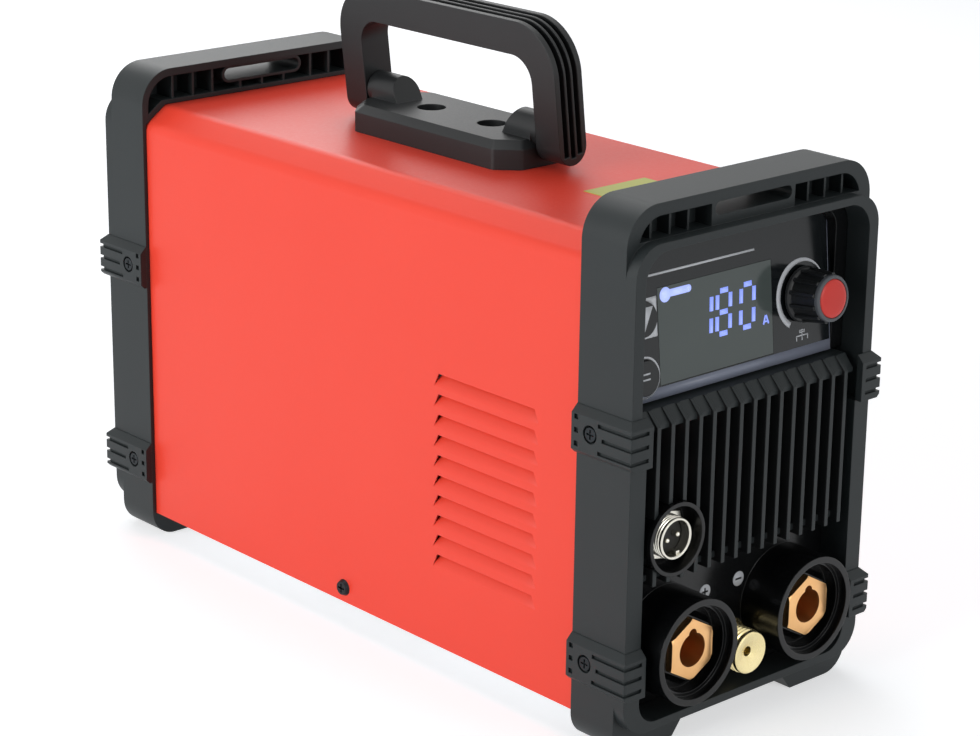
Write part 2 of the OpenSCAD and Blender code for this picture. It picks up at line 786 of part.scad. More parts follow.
module torch_connector_insert() {
    color("#2b2723") difference() {
        union() {
            rod_y(torch_x, torch_z, torch_floor - 4, torch_floor - 2, torch_thread_d / 2 - 1.4 - run_gap);
            rod_y(torch_x, torch_z, torch_floor - 2.01, plate_y + plate_t + 6, 5.5);
        }
        for (s = [-1, 1])
            rod_y(torch_x + s * 2.6, torch_z + s * 0.6, torch_floor - 5, plate_y + plate_t + 7, 1);
    }
}

module torch_connector_pins() {
    color(steel) for (s = [-1, 1]) union() {
        rod_y(torch_x + s * 2.6, torch_z + s * 0.6, torch_floor - 6, plate_y + plate_t + 9, 1);
        translate([torch_x + s * 2.6, torch_floor - 6, torch_z + s * 0.6]) sphere(1, $fn = 24);
    }
}

// ---------- handle ----------

// Pad with cut corners, d smaller all round
module base_slice(z, h, d) {
    l = base_l / 2 - base_r - d;
    w = base_w / 2 - base_r - d;
    for (s = [-1, 1]) for (t = [-1, 1]) {
        translate([s * (w - base_corner), t * l, z]) cylinder(h = h, r = base_r, $fn = 24);
        translate([s * w, t * (l - base_corner), z]) cylinder(h = h, r = base_r, $fn = 24);
    }
}

module handle_base() {
    rise = pivot_z - cover_z1;
    barrel_in = leg_in - bail_gap - barrel_l;
    color(black) translate([0, handle_y, cover_z1]) difference() {
        union() {
            hull() {
                base_slice(0, base_h - base_edge - 0.4, 0);
                base_slice(base_h - 0.1, 0.1, base_edge);
            }
            for (s = [-1, 1]) scale([1, s, 1]) {
                rod_y(0, rise, barrel_in, leg_in - bail_gap, barrel_r);
                translate([-barrel_r, barrel_in, base_h - 3])
                    cube([2 * barrel_r, base_l / 2 - 2 - barrel_in, rise - base_h + 3]);
            }
        }
        for (s = [-1, 1]) {
            translate([0, s * hole_gap / 2, -eps]) cylinder(h = base_h + 1, r = handle_screw_r + 0.2);
            translate([0, s * hole_gap / 2, 4]) cylinder(h = base_h, r = hole_r);
            scale([1, s, 1]) rod_y(0, rise, leg_in - 13, leg_in + 1, handle_pin_d / 2);
        }
        // the barrels slope down towards the middle of the base
        for (s = [-1, 1]) scale([1, s, 1]) translate([-base_w / 2, barrel_in, base_h])
            rotate([-barrel_slope, 0, 0]) translate([0, -15, 0]) cube([base_w, 15, 15]);
    }
}

barrel_slope = 26;
handle_screw_r = 2.5;

module handle_screws() {
    color(steel) for (s = [-1, 1]) translate([0, handle_y + s * hole_gap / 2, cover_z1 + 4])
        pan_screw(4, 2.6, handle_screw_r, 4 + sheet + 5);
}

// Plate with weld nuts under the cover
module handle_bracket() {
    color(steel) translate([0, handle_y, cover_z1 - sheet]) difference() {
        union() {
            translate([-16, -base_l / 2 + 4, -2]) cube([32, base_l - 8, 2]);
            for (s = [-1, 1]) translate([0, s * hole_gap / 2, -5]) cylinder(h = 3.1, r = 5, $fn = 6);
        }
        for (s = [-1, 1]) translate([0, s * hole_gap / 2, -6]) cylinder(h = 8, r = handle_screw_r);
    }
}

// Side outline of the bail in its upright place, pivot on the origin
module bail_side() {
    l = handle_l / 2;
    difference() {
        soft_rect(-l, -leg_drop - 1, l, handle_rise, 0.5, bail_r);
        soft_rect(-leg_in, -leg_drop - 12, leg_in, handle_rise - grip_t, 1, bail_r - leg_t + 3);
    }
}

module handle_bail() {
    l = handle_l / 2;
    r = handle_t / 2;
    groove = 2.3;
    deep = 4;
    color(black) translate([0, handle_y, pivot_z]) rotate([0, -handle_lean, 0]) difference() {
        intersection() {
            along_x(-r, r) bail_side();
            // the legs end in a half round
            along_y(-l - eps, l + eps) union() {
                translate([-r, r - leg_drop]) square([2 * r, handle_rise + leg_drop]);
                translate([0, r - leg_drop]) circle(r);
            }
        }
        // grooves round the outside, on both legs and over the grip
        for (x = [-1, 0, 1] * handle_t * 0.243) {
            foot = r - leg_drop - sqrt(r * r - x * x) + 3;
            along_x(x - groove / 2, x + groove / 2) difference() {
                soft_rect(-l - 1, foot, l + 1, handle_rise + 1, 0.5, bail_r + 1);
                soft_rect(-l + deep, foot - eps, l - deep, handle_rise - deep, 0.5, bail_r - deep);
            }
        }
        for (s = [-1, 1]) scale([1, s, 1])
            rod_y(0, 0, leg_in - 1, leg_in + leg_t - 5, handle_pin_d / 2 + run_gap);
    }
}

module handle_pins() {
    color(steel) translate([0, handle_y, pivot_z]) for (s = [-1, 1]) scale([1, s, 1])
        rod_y(0, 0, leg_in - 13, leg_in + leg_t - 5.2, handle_pin_d / 2);
}

module top_label() {
    color("#c9c86a") translate([-16, face_y + 39, cover_z1]) cube([31.5, 35.5, 0.2]);
}

// ---------- rear ----------

module rear_panel() {
    d = seat_gap;
    color(black) difference() {
        along_y(rear_y - rear_t, rear_y)
            soft_rect(-open_w / 2 + d, open_z0 + d, open_w / 2 - d, open_z1 - d, 1, corner_mid - 1.2);
        rod_y(0, fan_z, rear_y - rear_t - eps, rear_y + eps, fan_hole_r);
        translate([switch_x - switch_w / 2, rear_y - rear_t - eps, switch_z - switch_h / 2])
            cube([switch_w, rear_t + 2 * eps, switch_h]);
        for (x = [-1, 1]) for (z = [-1, 1])
            rod_y(x * (fan_size / 2 - 5), fan_z + z * (fan_size / 2 - 5),
                  fan_y1 - eps, rear_y + eps, fan_screw_r);
        rod_y(gland_x, gland_z, rear_y - rear_t - eps, rear_y + eps, gland_d / 2 + run_gap);
        rod_y(inlet_x, inlet_z, rear_y - rear_t - eps, rear_y + eps, 5 + run_gap);
        // a row of air slots beside the switch
        for (i = [-2 : 2]) translate([i * 7 - 1.5, rear_y - rear_t - eps, 168])
            cube([3, rear_t + 2 * eps, 12]);
    }
}

module fan_housing() {
    s = fan_size / 2;
    r = s - 2;
    color(black) difference() {
        union() {
            difference() {
                translate([-s, fan_y1 - fan_d, fan_z - s]) cube([fan_size, fan_d, fan_size]);
                rod_y(0, fan_z, fan_y1 - fan_d - eps, fan_y1 + eps, r);
            }
            // motor boss on four arms, on the inward side
            rod_y(0, fan_z, fan_y1 - fan_d, fan_y1 - fan_d + 5, 17);
            for (a = [45, 135]) translate([0, fan_y1 - fan_d, fan_z]) rotate([0, a, 0])
                translate([-r - 1, 0, -1.5]) cube([2 * r + 2, 3, 3]);
            rod_y(0, fan_z, fan_y1 - fan_d + 4.9, fan_y1 - 4, 1.5);
        }
        for (x = [-1, 1]) for (z = [-1, 1])
            rod_y(x * (s - 5), fan_z + z * (s - 5), fan_y1 - fan_d - eps, fan_y1 + eps, fan_screw_r);
    }
}

module fan_rotor() {
    y0 = fan_y1 - fan_d + 5.4;
    y1 = fan_y1 - 2;
    r = fan_size / 2 - 3.5;
    color("#22262a") difference() {
        union() {
            rod_y(0, fan_z, y0, y1, 17.5);
            for (i = [0 : blade_count - 1]) translate([0, (y0 + y1) / 2, fan_z])
                rotate([0, i * 360 / blade_count, 0]) rotate([0, 0, 40])
                    translate([-11, -0.9, 14]) cube([22, 1.8, r - 15.5]);
        }
        rod_y(0, fan_z, y0 - eps, y1 - 1.5, 1.5 + run_gap);
    }
}

guard_tab = 2.4;
module fan_guard() {
    wire = 1.6;
    spoke = fan_hole_r + 1;
    tab = fan_size / 2 - 5;
    color(black) difference() {
        union() {
            for (r = [spoke, 31, 20]) ring_y(0, fan_z, rear_y, rear_y + 2 * wire, r + wire / 2, wire);
            rod_y(0, fan_z, rear_y, rear_y + 2 * wire, 9);
            for (a = [0 : 45 : 315]) translate([0, rear_y, fan_z]) rotate([0, a, 0])
                translate([8, 0.2, -wire / 2]) cube([spoke - 8, 2 * wire - 0.4, wire]);
            for (a = [45 : 90 : 315]) translate([0, rear_y, fan_z]) rotate([0, a, 0])
                translate([spoke, 0, -1.5]) cube([tab * sqrt(2) - spoke, guard_tab, 3]);
            for (x = [-1, 1]) for (z = [-1, 1])
                rod_y(x * tab, fan_z + z * tab, rear_y, rear_y + guard_tab, 4.2);
        }
        for (x = [-1, 1]) for (z = [-1, 1])
            rod_y(x * tab, fan_z + z * tab, rear_y - eps, rear_y + 4, fan_screw_r);
    }
}

module fan_screws() {
    color(black) for (x = [-1, 1]) for (z = [-1, 1])
        translate([x * (fan_size / 2 - 5), rear_y + guard_tab, fan_z + z * (fan_size / 2 - 5)])
            rotate([-90, 0, 0]) pan_screw(3.6, 1.8, fan_screw_r, 20);
}

fan_screw_r = 2;

module power_switch_body() {
    w = switch_w - 2 * seat_gap;
    h = switch_h - 2 * seat_gap;
    color(black) difference() {
        union() {
            translate([switch_x - w / 2, rear_y - 20, switch_z - h / 2]) cube([w, 20.01, h]);
            translate([switch_x - w / 2 - 2, rear_y, switch_z - h / 2 - 2]) cube([w + 4, 2, h + 4]);
        }
        translate([switch_x - w / 2 + 1.2, rear_y - 9, switch_z - h / 2 + 1.2])
            cube([w - 2.4, 12, h - 2.4]);
        translate([switch_x, rear_y - 1.5, switch_z])
            along_x(-w / 2 + 0.4, w / 2 - 0.4) circle(rocker_pin_r + run_gap);
    }
}

// Rocker that turns about X, at rest with its lower side pressed in
module power_switch_rocker() {
    w = switch_w - 2 * seat_gap - 3.4;
    half = (switch_h - 2 * seat_gap) / 2 - 1.7;
    color("#202326") translate([switch_x, rear_y - 1.5, switch_z]) rotate([-rocker_tilt, 0, 0]) union() {
        along_x(-w / 2, w / 2)
            polygon([[-1.5, -half + 0.9], [2.2, -half], [1.6, 0], [2.2, half], [-1.5, half - 0.9]]);
        along_x(-w / 2 - 1.2, w / 2 + 1.2) circle(rocker_pin_r);
    }
}

module cable_gland() {
    color(black) difference() {
        union() {
            rod_y(gland_x, gland_z, rear_y - 9, rear_y + 0.01, gland_d / 2);
            hexagon_y(gland_x, gland_z, rear_y, rear_y + 4, 24);
            rod_y(gland_x, gland_z, rear_y + 3.9, rear_y + 12.5, 9.5);
        }
        rod_y(gland_x, gland_z, rear_y - 10, rear_y + 13, 5);
    }
}

module gas_inlet() {
    y = rear_y - rear_t;
    color(brass) difference() {
        union() {
            rod_y(inlet_x, inlet_z, y - 10, rear_y, 5);
            hexagon_y(inlet_x, inlet_z, rear_y, rear_y + 4, 14);
            rod_y(inlet_x, inlet_z, rear_y + 3.9, inlet_end, 4);
        }
        rod_y(inlet_x, inlet_z, y - 11, inlet_end + eps, 2);
    }
}

// ---------- inside ----------

valve_y = [rear_y - rear_t - 40, rear_y - rear_t - 10];
module gas_valve() {
    color("#4a4f55") difference() {
        union() {
            translate([inlet_x - 9, valve_y[0], inlet_z - 9]) cube([18, valve_y[1] - valve_y[0], 18]);
            translate([inlet_x - 7, valve_y[0] + 5, inlet_z + 8.9]) cube([14, 20, 14]);
        }
        rod_y(inlet_x, inlet_z, valve_y[0] - eps, valve_y[1] + eps, 2);
    }
}

// From the valve forward along the side, then down to the gas outlet. The first and
// the last point only set the direction of the ends.
hose_r = 4;
hose_sides = 12;
hose_steps = 5;
barb_end = plate_y + plate_t + 18;      // back end of the gas outlet's barb
hose_knots = [
    [inlet_x, valve_y[0] + 30, inlet_z], [inlet_x, valve_y[0], inlet_z], [inlet_x, 20, inlet_z],
    [inlet_x, face_y + 97, inlet_z], [30, face_y + 53, inlet_z - 16], [8, face_y + 45, 70],
    [0, face_y + 45, gas_z + 20],
    [0, barb_end + 7, gas_z + 3], [0, barb_end, gas_z], [0, barb_end - 10, gas_z], [0, barb_end - 20, gas_z]
];

function curve_point(a, b, c, d, t) = 0.5 * (2 * b + (c - a) * t + (2 * a - 5 * b + 4 * c - d) * t * t
    + (3 * b - a - 3 * c + d) * t * t * t);
function curve_slope(a, b, c, d, t) = (c - a) + (2 * a - 5 * b + 4 * c - d) * 2 * t
    + (3 * b - a - 3 * c + d) * 3 * t * t;
function unit(v) = v / norm(v);

module swept_tube(knots, r, sides, steps) {
    spans = len(knots) - 3;
    rings = [for (i = [0 : spans * steps]) let (
        k = min(floor(i / steps), spans - 1),
        t = i / steps - k,
        centre = curve_point(knots[k], knots[k + 1], knots[k + 2], knots[k + 3], t),
        along = unit(curve_slope(knots[k], knots[k + 1], knots[k + 2], knots[k + 3], t)),
        u = unit(cross(along, [1, 0, 0])),
        v = cross(along, u)
    ) [for (j = [0 : sides - 1]) centre + r * (cos(j * 360 / sides) * u + sin(j * 360 / sides) * v)]];
    last = len(rings) - 1;
    polyhedron(
        points = [for (ring = rings) each ring],
        faces = concat(
            [[for (j = [0 : sides - 1]) j]],
            [for (i = [0 : last - 1]) for (j = [0 : sides - 1]) let (n = (j + 1) % sides)
                [i * sides + j, (i + 1) * sides + j, (i + 1) * sides + n, i * sides + n]],
            [[for (j = [sides - 1 : -1 : 0]) last * sides + j]]
        )
    );
}

module gas_hose() {
    color("#20262b") difference() {
        swept_tube(hose_knots, hose_r, hose_sides, hose_steps);
        rod_y(0, gas_z, barb_end - 10 - eps, barb_end, 3);
    }
}

module power_board() {
    color("#1d6b3c") difference() {
        translate([-board_w / 2, board_y[0], board_z]) cube([board_w, board_y[1] - board_y[0], board_t]);
        for (x = [-1, 1]) for (y = standoff_y)
            translate([x * (board_w / 2 - 5), y, board_z - eps]) cylinder(h = board_t + 2 * eps, r = 1.6);
    }
}

standoff_y = [board_y[0] + 6, (board_y[0] + board_y[1]) / 2, board_y[1] - 6];

module board_standoffs() {
    color(brass) for (x = [-1, 1]) for (y = standoff_y)
        translate([x * (board_w / 2 - 5), y, floor_z]) union() {
            cylinder(h = standoff_h, r = 3, $fn = 6);
            cylinder(h = standoff_h + board_t, r = 1.6);
        }
}

sink_x = 24;                            // inner face of a heat sink
sink_y = [board_y[0] + 56, board_y[1] - 48];
transistor_step = 22;
transistor_count = floor((sink_y[1] - sink_y[0]) / transistor_step);
sink_z = board_z + board_t;
sink_h = 70;
module heat_sinks() {
    fins = 9;
    wall = 4;
    color("#9a9ea2") both_sides() union() {
        translate([sink_x, sink_y[0], sink_z]) cube([wall, sink_y[1] - sink_y[0], sink_h]);
        for (i = [0 : fins - 1])
            translate([sink_x + wall - 0.1, sink_y[0], sink_z + 2 + i * (sink_h - 4) / (fins - 1) - 0.8])
                cube([22, sink_y[1] - sink_y[0], 1.6]);
    }
}

module power_transistors() {
    color(black) both_sides() for (i = [0 : transistor_count - 1])
        translate([sink_x - 4.6, sink_y[0] + 3 + i * transistor_step, sink_z]) union() {
            translate([0, 0, 6]) cube([4.6, 15.5, 20]);
            for (k = [0 : 2]) translate([2, 2.6 + k * 4.6, 0]) cube([0.7, 1.2, 6.1]);
        }
}

module filter_capacitors() {
    color("#27303c") for (x = [-34, 0, 34]) translate([x, board_y[0] + 30, sink_z]) union() {
        cylinder(h = 46, r = 15);
        translate([0, 0, 46]) cylinder(h = 0.6, r = 13.5);
    }
}

// Ferrite core standing between the heat sinks, and its winding
module main_transformer() {
    core = [30, 56, 46];
    limb = 9;
    y = board_y[1] - 86;
    translate([-core[0] / 2, y - core[1] / 2, sink_z]) {
        color("#35322e") difference() {
            cube(core);
            for (k = [0, 1]) translate([-eps, limb + k * (core[1] - limb) / 2, limb])
                cube([core[0] + 2 * eps, core[1] / 2 - 1.5 * limb, core[2] - 2 * limb]);
        }
        color("#b5652c") translate([-2.5, limb + 0.3, limb + 0.3]) difference() {
            cube([core[0] + 5, core[1] - 2 * limb - 0.6, core[2] - 2 * limb - 0.6]);
            translate([2, core[1] / 2 - 1.5 * limb - 0.4, -eps])
                cube([core[0] + 1, limb + 0.2, core[2]]);
        }
    }
}

module output_choke() {
    color("#b5652c") translate([0, board_y[1] - 24, sink_z]) difference() {
        cylinder(h = 24, r = 20);
        translate([0, 0, -eps]) cylinder(h = 24 + 2 * eps, r = 8);
    }
}

// Flat bars from the output sockets back to the power board
module output_busbars() {
    y = socket_back + 0.01;
    color(brass) for (x = socket_x) difference() {
        union() {
            translate([x - 9, y, board_z + board_t]) cube([18, 3, socket_z - board_z + 8]);
            translate([x - 9, y, board_z + board_t]) cube([18, 16, 3]);
        }
        rod_y(x, socket_z, y - eps, y + 3 + eps, 4 + run_gap);
    }
}

chassis_tray();
shell_cover();
front_frame();
rear_frame();
front_panel();
front_grille();
display_panel();
lcd_window();
lcd_module();
control_knob();
knob_cap();
encoder_body();
encoder_plunger();
encoder_shaft();
mode_button();
select_button();
button_switches();
control_board();
negative_socket();
positive_socket();
panel_nuts();
gas_outlet();
torch_connector_shell();
torch_connector_insert();
torch_connector_pins();
bumper_front_left_upper();
bumper_front_left_lower();
bumper_front_right_upper();
bumper_front_right_lower();
bumper_rear_left_upper();
bumper_rear_left_lower();
bumper_rear_right_upper();
bumper_rear_right_lower();
bumper_screws();
cover_screws();
handle_base();
handle_bail();
handle_pins();
handle_screws();
handle_bracket();
rear_panel();
fan_housing();
fan_rotor();
fan_guard();
fan_screws();
power_switch_body();
power_switch_rocker();
cable_gland();
gas_inlet();
gas_valve();
gas_hose();
power_board();
board_standoffs();
heat_sinks();
power_transistors();
filter_capacitors();
main_transformer();
output_choke();
output_busbars();
top_label();
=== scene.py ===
import json
import math

import bmesh
import bpy
from mathutils import Matrix, Vector


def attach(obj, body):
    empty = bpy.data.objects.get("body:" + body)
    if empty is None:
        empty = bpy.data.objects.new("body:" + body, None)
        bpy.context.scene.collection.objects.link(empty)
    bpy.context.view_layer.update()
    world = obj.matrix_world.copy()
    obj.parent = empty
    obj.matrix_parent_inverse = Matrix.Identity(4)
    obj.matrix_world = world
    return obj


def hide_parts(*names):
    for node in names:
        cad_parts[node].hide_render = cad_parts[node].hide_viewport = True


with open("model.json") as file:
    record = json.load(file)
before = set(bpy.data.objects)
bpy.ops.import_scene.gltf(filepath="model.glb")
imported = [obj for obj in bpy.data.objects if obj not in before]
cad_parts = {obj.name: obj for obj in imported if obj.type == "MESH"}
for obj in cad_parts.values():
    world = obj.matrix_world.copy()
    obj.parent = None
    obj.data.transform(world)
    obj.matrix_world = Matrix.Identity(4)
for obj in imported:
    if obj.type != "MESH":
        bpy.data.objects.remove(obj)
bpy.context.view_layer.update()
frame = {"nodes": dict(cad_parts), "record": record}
nodes = frame["nodes"]
mm = 0.001
scene = bpy.context.scene
print("frame loaded,", len(nodes), "nodes")

# camera and studio

cameraSpec = {
    "place": (-694.0, -780.3, 438.9),  # mm
    "azimuth": -42.21,
    "elevation": 18.15,
    "roll": 0.757,
    "focal": 2739.3,  # in pixels of a picture 980 wide
    "pictureWidth": 980,
    "sensor": 36,
}


def placeCamera(spec):
    azimuth = math.radians(spec["azimuth"])
    elevation = math.radians(spec["elevation"])
    right = Vector((math.cos(azimuth), math.sin(azimuth), 0))
    back = Vector((
        math.sin(azimuth) * math.cos(elevation),
        -math.cos(azimuth) * math.cos(elevation),
        math.sin(elevation),
    ))
    turn = Matrix((right, back.cross(right), back)).transposed()
    turn = turn @ Matrix.Rotation(math.radians(spec["roll"]), 3, "Z")
    data = bpy.data.cameras.new("camera")
    data.sensor_width = spec["sensor"]
    data.lens = spec["focal"] / spec["pictureWidth"] * spec["sensor"]
    data.clip_end = 50
    camera = bpy.data.objects.new("camera", data)
    camera.matrix_world = Matrix.Translation(Vector(spec["place"]) * mm) @ turn.to_4x4()
    scene.collection.objects.link(camera)
    scene.camera = camera


placeCamera(cameraSpec)
scene.view_settings.view_transform = "Standard"


def linear(hexColour):
    parts = [int(hexColour[i:i + 2], 16) / 255 for i in (1, 3, 5)]
    return tuple(p / 12.92 if p <= 0.04045 else ((p + 0.055) / 1.055) ** 2.4 for p in parts) + (1,)


def addNode(tree, kind, settings=None, inputs=None, links=None):
    node = tree.nodes.new("ShaderNode" + kind)
    for name, value in (settings or {}).items():
        setattr(node, name, value)
    for name, value in (inputs or {}).items():
        node.inputs[name].default_value = value
    for name, socket in (links or {}).items():
        tree.links.new(socket, node.inputs[name])
    return node


studio = {
    "backdrop": "#ffffff",
    "fill": "#dfe6ee",  # soft light from all round
    "fillStrength": 0.22,
    "floorRadius": 4000,  # mm
    "floor": "#e9eaec",
    "floorLift": 0.55,
    # name: place in mm, aim in mm, width and height in mm, watts
    "lamps": {
        "leftSoftbox": ((-1600, 150, 560), (0, 0, 100), (1100, 900), 19),
        "topSoftbox": ((250, 500, 1700), (0, 0, 150), (1300, 1300), 9),
        "frontSoftbox": ((150, -1800, 650), (0, -150, 110), (800, 700), 8.5),
        "rearSoftbox": ((700, 1500, 900), (0, 0, 110), (900, 900), 5),
    },
}


def seenStraight(tree):
    # 1 for rays that come from the camera, through glass or from a mirror
    rays = addNode(tree, "LightPath")
    straight = addNode(tree, "Math", {"operation": "MAXIMUM"}, links={
        0: rays.outputs["Is Camera Ray"], 1: rays.outputs["Is Transmission Ray"]})
    seen = addNode(tree, "Math", {"operation": "MAXIMUM"}, links={
        0: straight.outputs[0], 1: rays.outputs["Is Glossy Ray"]})
    return seen.outputs[0]


def lightWorld(spec):
    world = bpy.data.worlds.new("studio")
    world.use_nodes = True
    tree = world.node_tree
    tree.nodes.clear()
    fill = addNode(tree, "Background", inputs={
        "Color": linear(spec["fill"]), "Strength": spec["fillStrength"]})
    backdrop = addNode(tree, "Background", inputs={
        "Color": linear(spec["backdrop"]), "Strength": 1})
    mix = addNode(tree, "MixShader", links={
        0: seenStraight(tree), 1: fill.outputs[0], 2: backdrop.outputs[0]})
    addNode(tree, "OutputWorld", links={"Surface": mix.outputs[0]})
    scene.world = world


def addLamp(name, place, aim, size, watts):
    data = bpy.data.lights.new(name, "AREA")
    data.shape = "RECTANGLE"
    data.size, data.size_y = size[0] * mm, size[1] * mm
    data.energy = watts
    lamp = bpy.data.objects.new(name, data)
    turn = (Vector(aim) - Vector(place)).to_track_quat("-Z", "Y").to_matrix().to_4x4()
    lamp.matrix_world = Matrix.Translation(Vector(place) * mm) @ turn
    scene.collection.objects.link(lamp)


lightWorld(studio)
for lampName, lampSpec in studio["lamps"].items():
    addLamp(lampName, *lampSpec)

# materials


def newMaterial(name):
    material = bpy.data.materials.new(name)
    material.use_nodes = True
    material.node_tree.nodes.clear()
    return material, material.node_tree


def finishMaterial(tree, shader):
    addNode(tree, "OutputMaterial", links={"Surface": shader.outputs[0]})


def objectPlace(tree):
    return addNode(tree, "TexCoord").outputs["Object"]


def addNoise(tree, place, size, detail=2.0, roughness=0.5):
    # size is the pattern's own, in mm
    inputs = {"Scale": 1000 / size, "Detail": detail, "Roughness": roughness}
    return addNode(tree, "TexNoise", inputs=inputs, links={"Vector": place}).outputs["Fac"]


def mixColours(tree, spec, factor):
    colours = {6: linear(spec["dark"]), 7: linear(spec["light"])}
    return addNode(tree, "Mix", {"data_type": "RGBA"}, colours, {0: factor}).outputs[2]


def addSurface(tree, spec, colour, grain, spread, fixed, normal=None):
    # the same grain moves the gloss up and down and lifts the surface
    limits = {"To Min": spec["rough"] - spread, "To Max": spec["rough"] + spread}
    gloss = addNode(tree, "MapRange", inputs=limits, links={"Value": grain})
    relief = {"Strength": 1.0, "Distance": spec["relief"] * mm}
    bump = addNode(tree, "Bump", inputs=relief, links={"Height": grain})
    if normal:
        tree.links.new(normal, bump.inputs["Normal"])
    links = {"Base Color": colour, "Roughness": gloss.outputs[0], "Normal": bump.outputs[0]}
    finishMaterial(tree, addNode(tree, "BsdfPrincipled", inputs=fixed, links=links))


mouldEdge = 0.45  # mm, the radius that a moulded edge seems to have
mouldShine = 0.3


def mouldedPlastic(name, spec):
    # a fine grain from the mould's wall, a faint unevenness in colour and gloss, and
    # the small radius of a moulded edge, which catches a thin line of light
    material, tree = newMaterial(name)
    place = objectPlace(tree)
    colour = mixColours(tree, spec, addNoise(tree, place, spec["cloud"], 3.0))
    grain = addNoise(tree, place, spec["grain"])
    edge = spec.get("edge", mouldEdge)
    rounded = None
    if edge:
        rounded = addNode(tree, "Bevel", {"samples": 4}, {"Radius": edge * mm}).outputs[0]
    fixed = {"IOR": spec["ior"], "Specular IOR Level": spec.get("shine", mouldShine)}
    addSurface(tree, spec, colour, grain, 0.05, fixed, rounded)
    return material


def powderCoat(name, spec):
    # sprayed and baked polyester: orange peel from the melt, faint clouds of pigment, semi-gloss
    material, tree = newMaterial(name)
    place = objectPlace(tree)
    colour = mixColours(tree, spec, addNoise(tree, place, spec["cloud"]))
    peel = addNoise(tree, place, spec["peel"], roughness=0.55)
    addSurface(tree, spec, colour, peel, 0.06, {"IOR": 1.5, "Specular IOR Level": spec["shine"]})
    return material


def cutMetal(name, spec):
    # fine rings and streaks from the tool, with a slight tarnish
    material, tree = newMaterial(name)
    place = objectPlace(tree)
    stretched = addNode(tree, "Mapping", inputs={"Scale": spec["stretch"]}, links={"Vector": place})
    streak = addNoise(tree, stretched.outputs[0], spec["streak"], 3.0)
    colour = mixColours(tree, spec, addNoise(tree, place, spec["cloud"], 3.0))
    addSurface(tree, spec, colour, streak, 0.08, {"Metallic": 1.0})
    return material


def litSegment(name, spec):
    # a lamp behind a cut mask: the light is even, and the mask's film still has a weak gloss
    material, tree = newMaterial(name)
    colour = mixColours(tree, spec, addNoise(tree, objectPlace(tree), spec["cloud"], 1.0))
    shader = addNode(tree, "BsdfPrincipled",
                     inputs={"Roughness": 0.3, "Emission Strength": spec["strength"]},
                     links={"Base Color": colour, "Emission Color": colour})
    finishMaterial(tree, shader)
    return material


plastics = {
    # ABS with a spark-eroded mould finish: dark grey, dull sheen, grain that just shows
    "charcoalAbs": {"dark": "#202526", "light": "#252a2b", "rough": 0.46, "grain": 0.45,
                    "relief": 0.02, "cloud": 30, "ior": 1.53, "shine": 0.25},
    # the same ABS, darker, as painted shade on the flanks of the grille's deep ribs
    "paintedShadeAbs": {"dark": "#0d0e0f", "light": "#101213", "rough": 0.5, "grain": 0.45, "relief": 0.01,
                  "cloud": 30, "ior": 1.53},
    # glass-filled nylon: nearly black, slightly shiny where the mould was smooth
    "knobNylon": {"dark": "#1d1e1f", "light": "#222425", "rough": 0.36, "grain": 1.0, "relief": 0.008,
                  "cloud": 12, "ior": 1.53},
    # the same nylon moulded in mid grey, so that the knob's ring stands out
    "greyNylon": {"dark": "#53565a", "light": "#5c5f63", "rough": 0.42, "grain": 0.8, "relief": 0.008,
                  "cloud": 8, "ior": 1.53},
    # the same nylon on the handle and the rear panel: finer, deeper grain and a little duller
    "blackNylon": {"dark": "#1a1c1d", "light": "#1e2021", "rough": 0.42, "grain": 0.6, "relief": 0.015,
                   "cloud": 22, "ior": 1.53},
    # polished ABS: piano black, mirrors soft shapes
    "glossAbs": {"dark": "#0b0c0d", "light": "#0d0e0f", "rough": 0.2, "grain": 3, "relief": 0.004,
                 "cloud": 40, "ior": 1.53},
    # printed polycarbonate film over the display panel: smooth and dark
    "panelFilm": {"dark": "#131618", "light": "#15191b", "rough": 0.14, "grain": 4, "relief": 0.003,
                  "edge": 0, "cloud": 40, "ior": 1.58},
    # polycarbonate window over a grey display: green-grey, glossy
    "displayWindow": {"dark": "#4c5452", "light": "#535b58", "rough": 0.12, "grain": 5, "relief": 0.002,
                      "edge": 0, "cloud": 25, "ior": 1.58},
    # grey ink under a clear film: flat colour, satin
    "greyFilm": {"dark": "#868b9b", "light": "#8e93a3", "rough": 0.3, "grain": 2, "relief": 0.004,
                 "edge": 0, "cloud": 20, "ior": 1.5},
    # pad of softly shining red ABS
    "redCap": {"dark": "#d83a32", "light": "#e04038", "rough": 0.36, "grain": 1.2, "relief": 0.008,
               "cloud": 8, "ior": 1.5},
    # screen-printed ink: matt, opaque
    "whiteInk": {"dark": "#d6d8dc", "light": "#dfe1e4", "rough": 0.5, "grain": 0.5, "relief": 0.004,
                 "edge": 0, "cloud": 6, "ior": 1.5},
    "blackInk": {"dark": "#0c0d0e", "light": "#101112", "rough": 0.5, "grain": 0.5, "relief": 0.004,
                 "edge": 0, "cloud": 6, "ior": 1.5},
    # vinyl sticker: a greenish yellow, satin
    "yellowVinyl": {"dark": "#b7b848", "light": "#c0c052", "rough": 0.38, "grain": 1.5, "relief": 0.004,
                    "edge": 0, "cloud": 12, "ior": 1.5},
    # what is inside: cast epoxy, lacquered board, shrunk film and rubber hose
    "blackEpoxy": {"dark": "#141313", "light": "#1b1a19", "rough": 0.5, "grain": 0.8, "relief": 0.01,
                   "cloud": 8, "ior": 1.5},
    "solderMask": {"dark": "#12502c", "light": "#176036", "rough": 0.32, "grain": 2.5, "relief": 0.006,
                   "cloud": 14, "ior": 1.5},
    "shrinkSleeve": {"dark": "#1d2733", "light": "#24303d", "rough": 0.3, "grain": 3, "relief": 0.006,
                     "cloud": 12, "ior": 1.5},
    "hoseRubber": {"dark": "#15181a", "light": "#1c2022", "rough": 0.6, "grain": 1, "relief": 0.02,
                   "cloud": 12, "ior": 1.5},
}
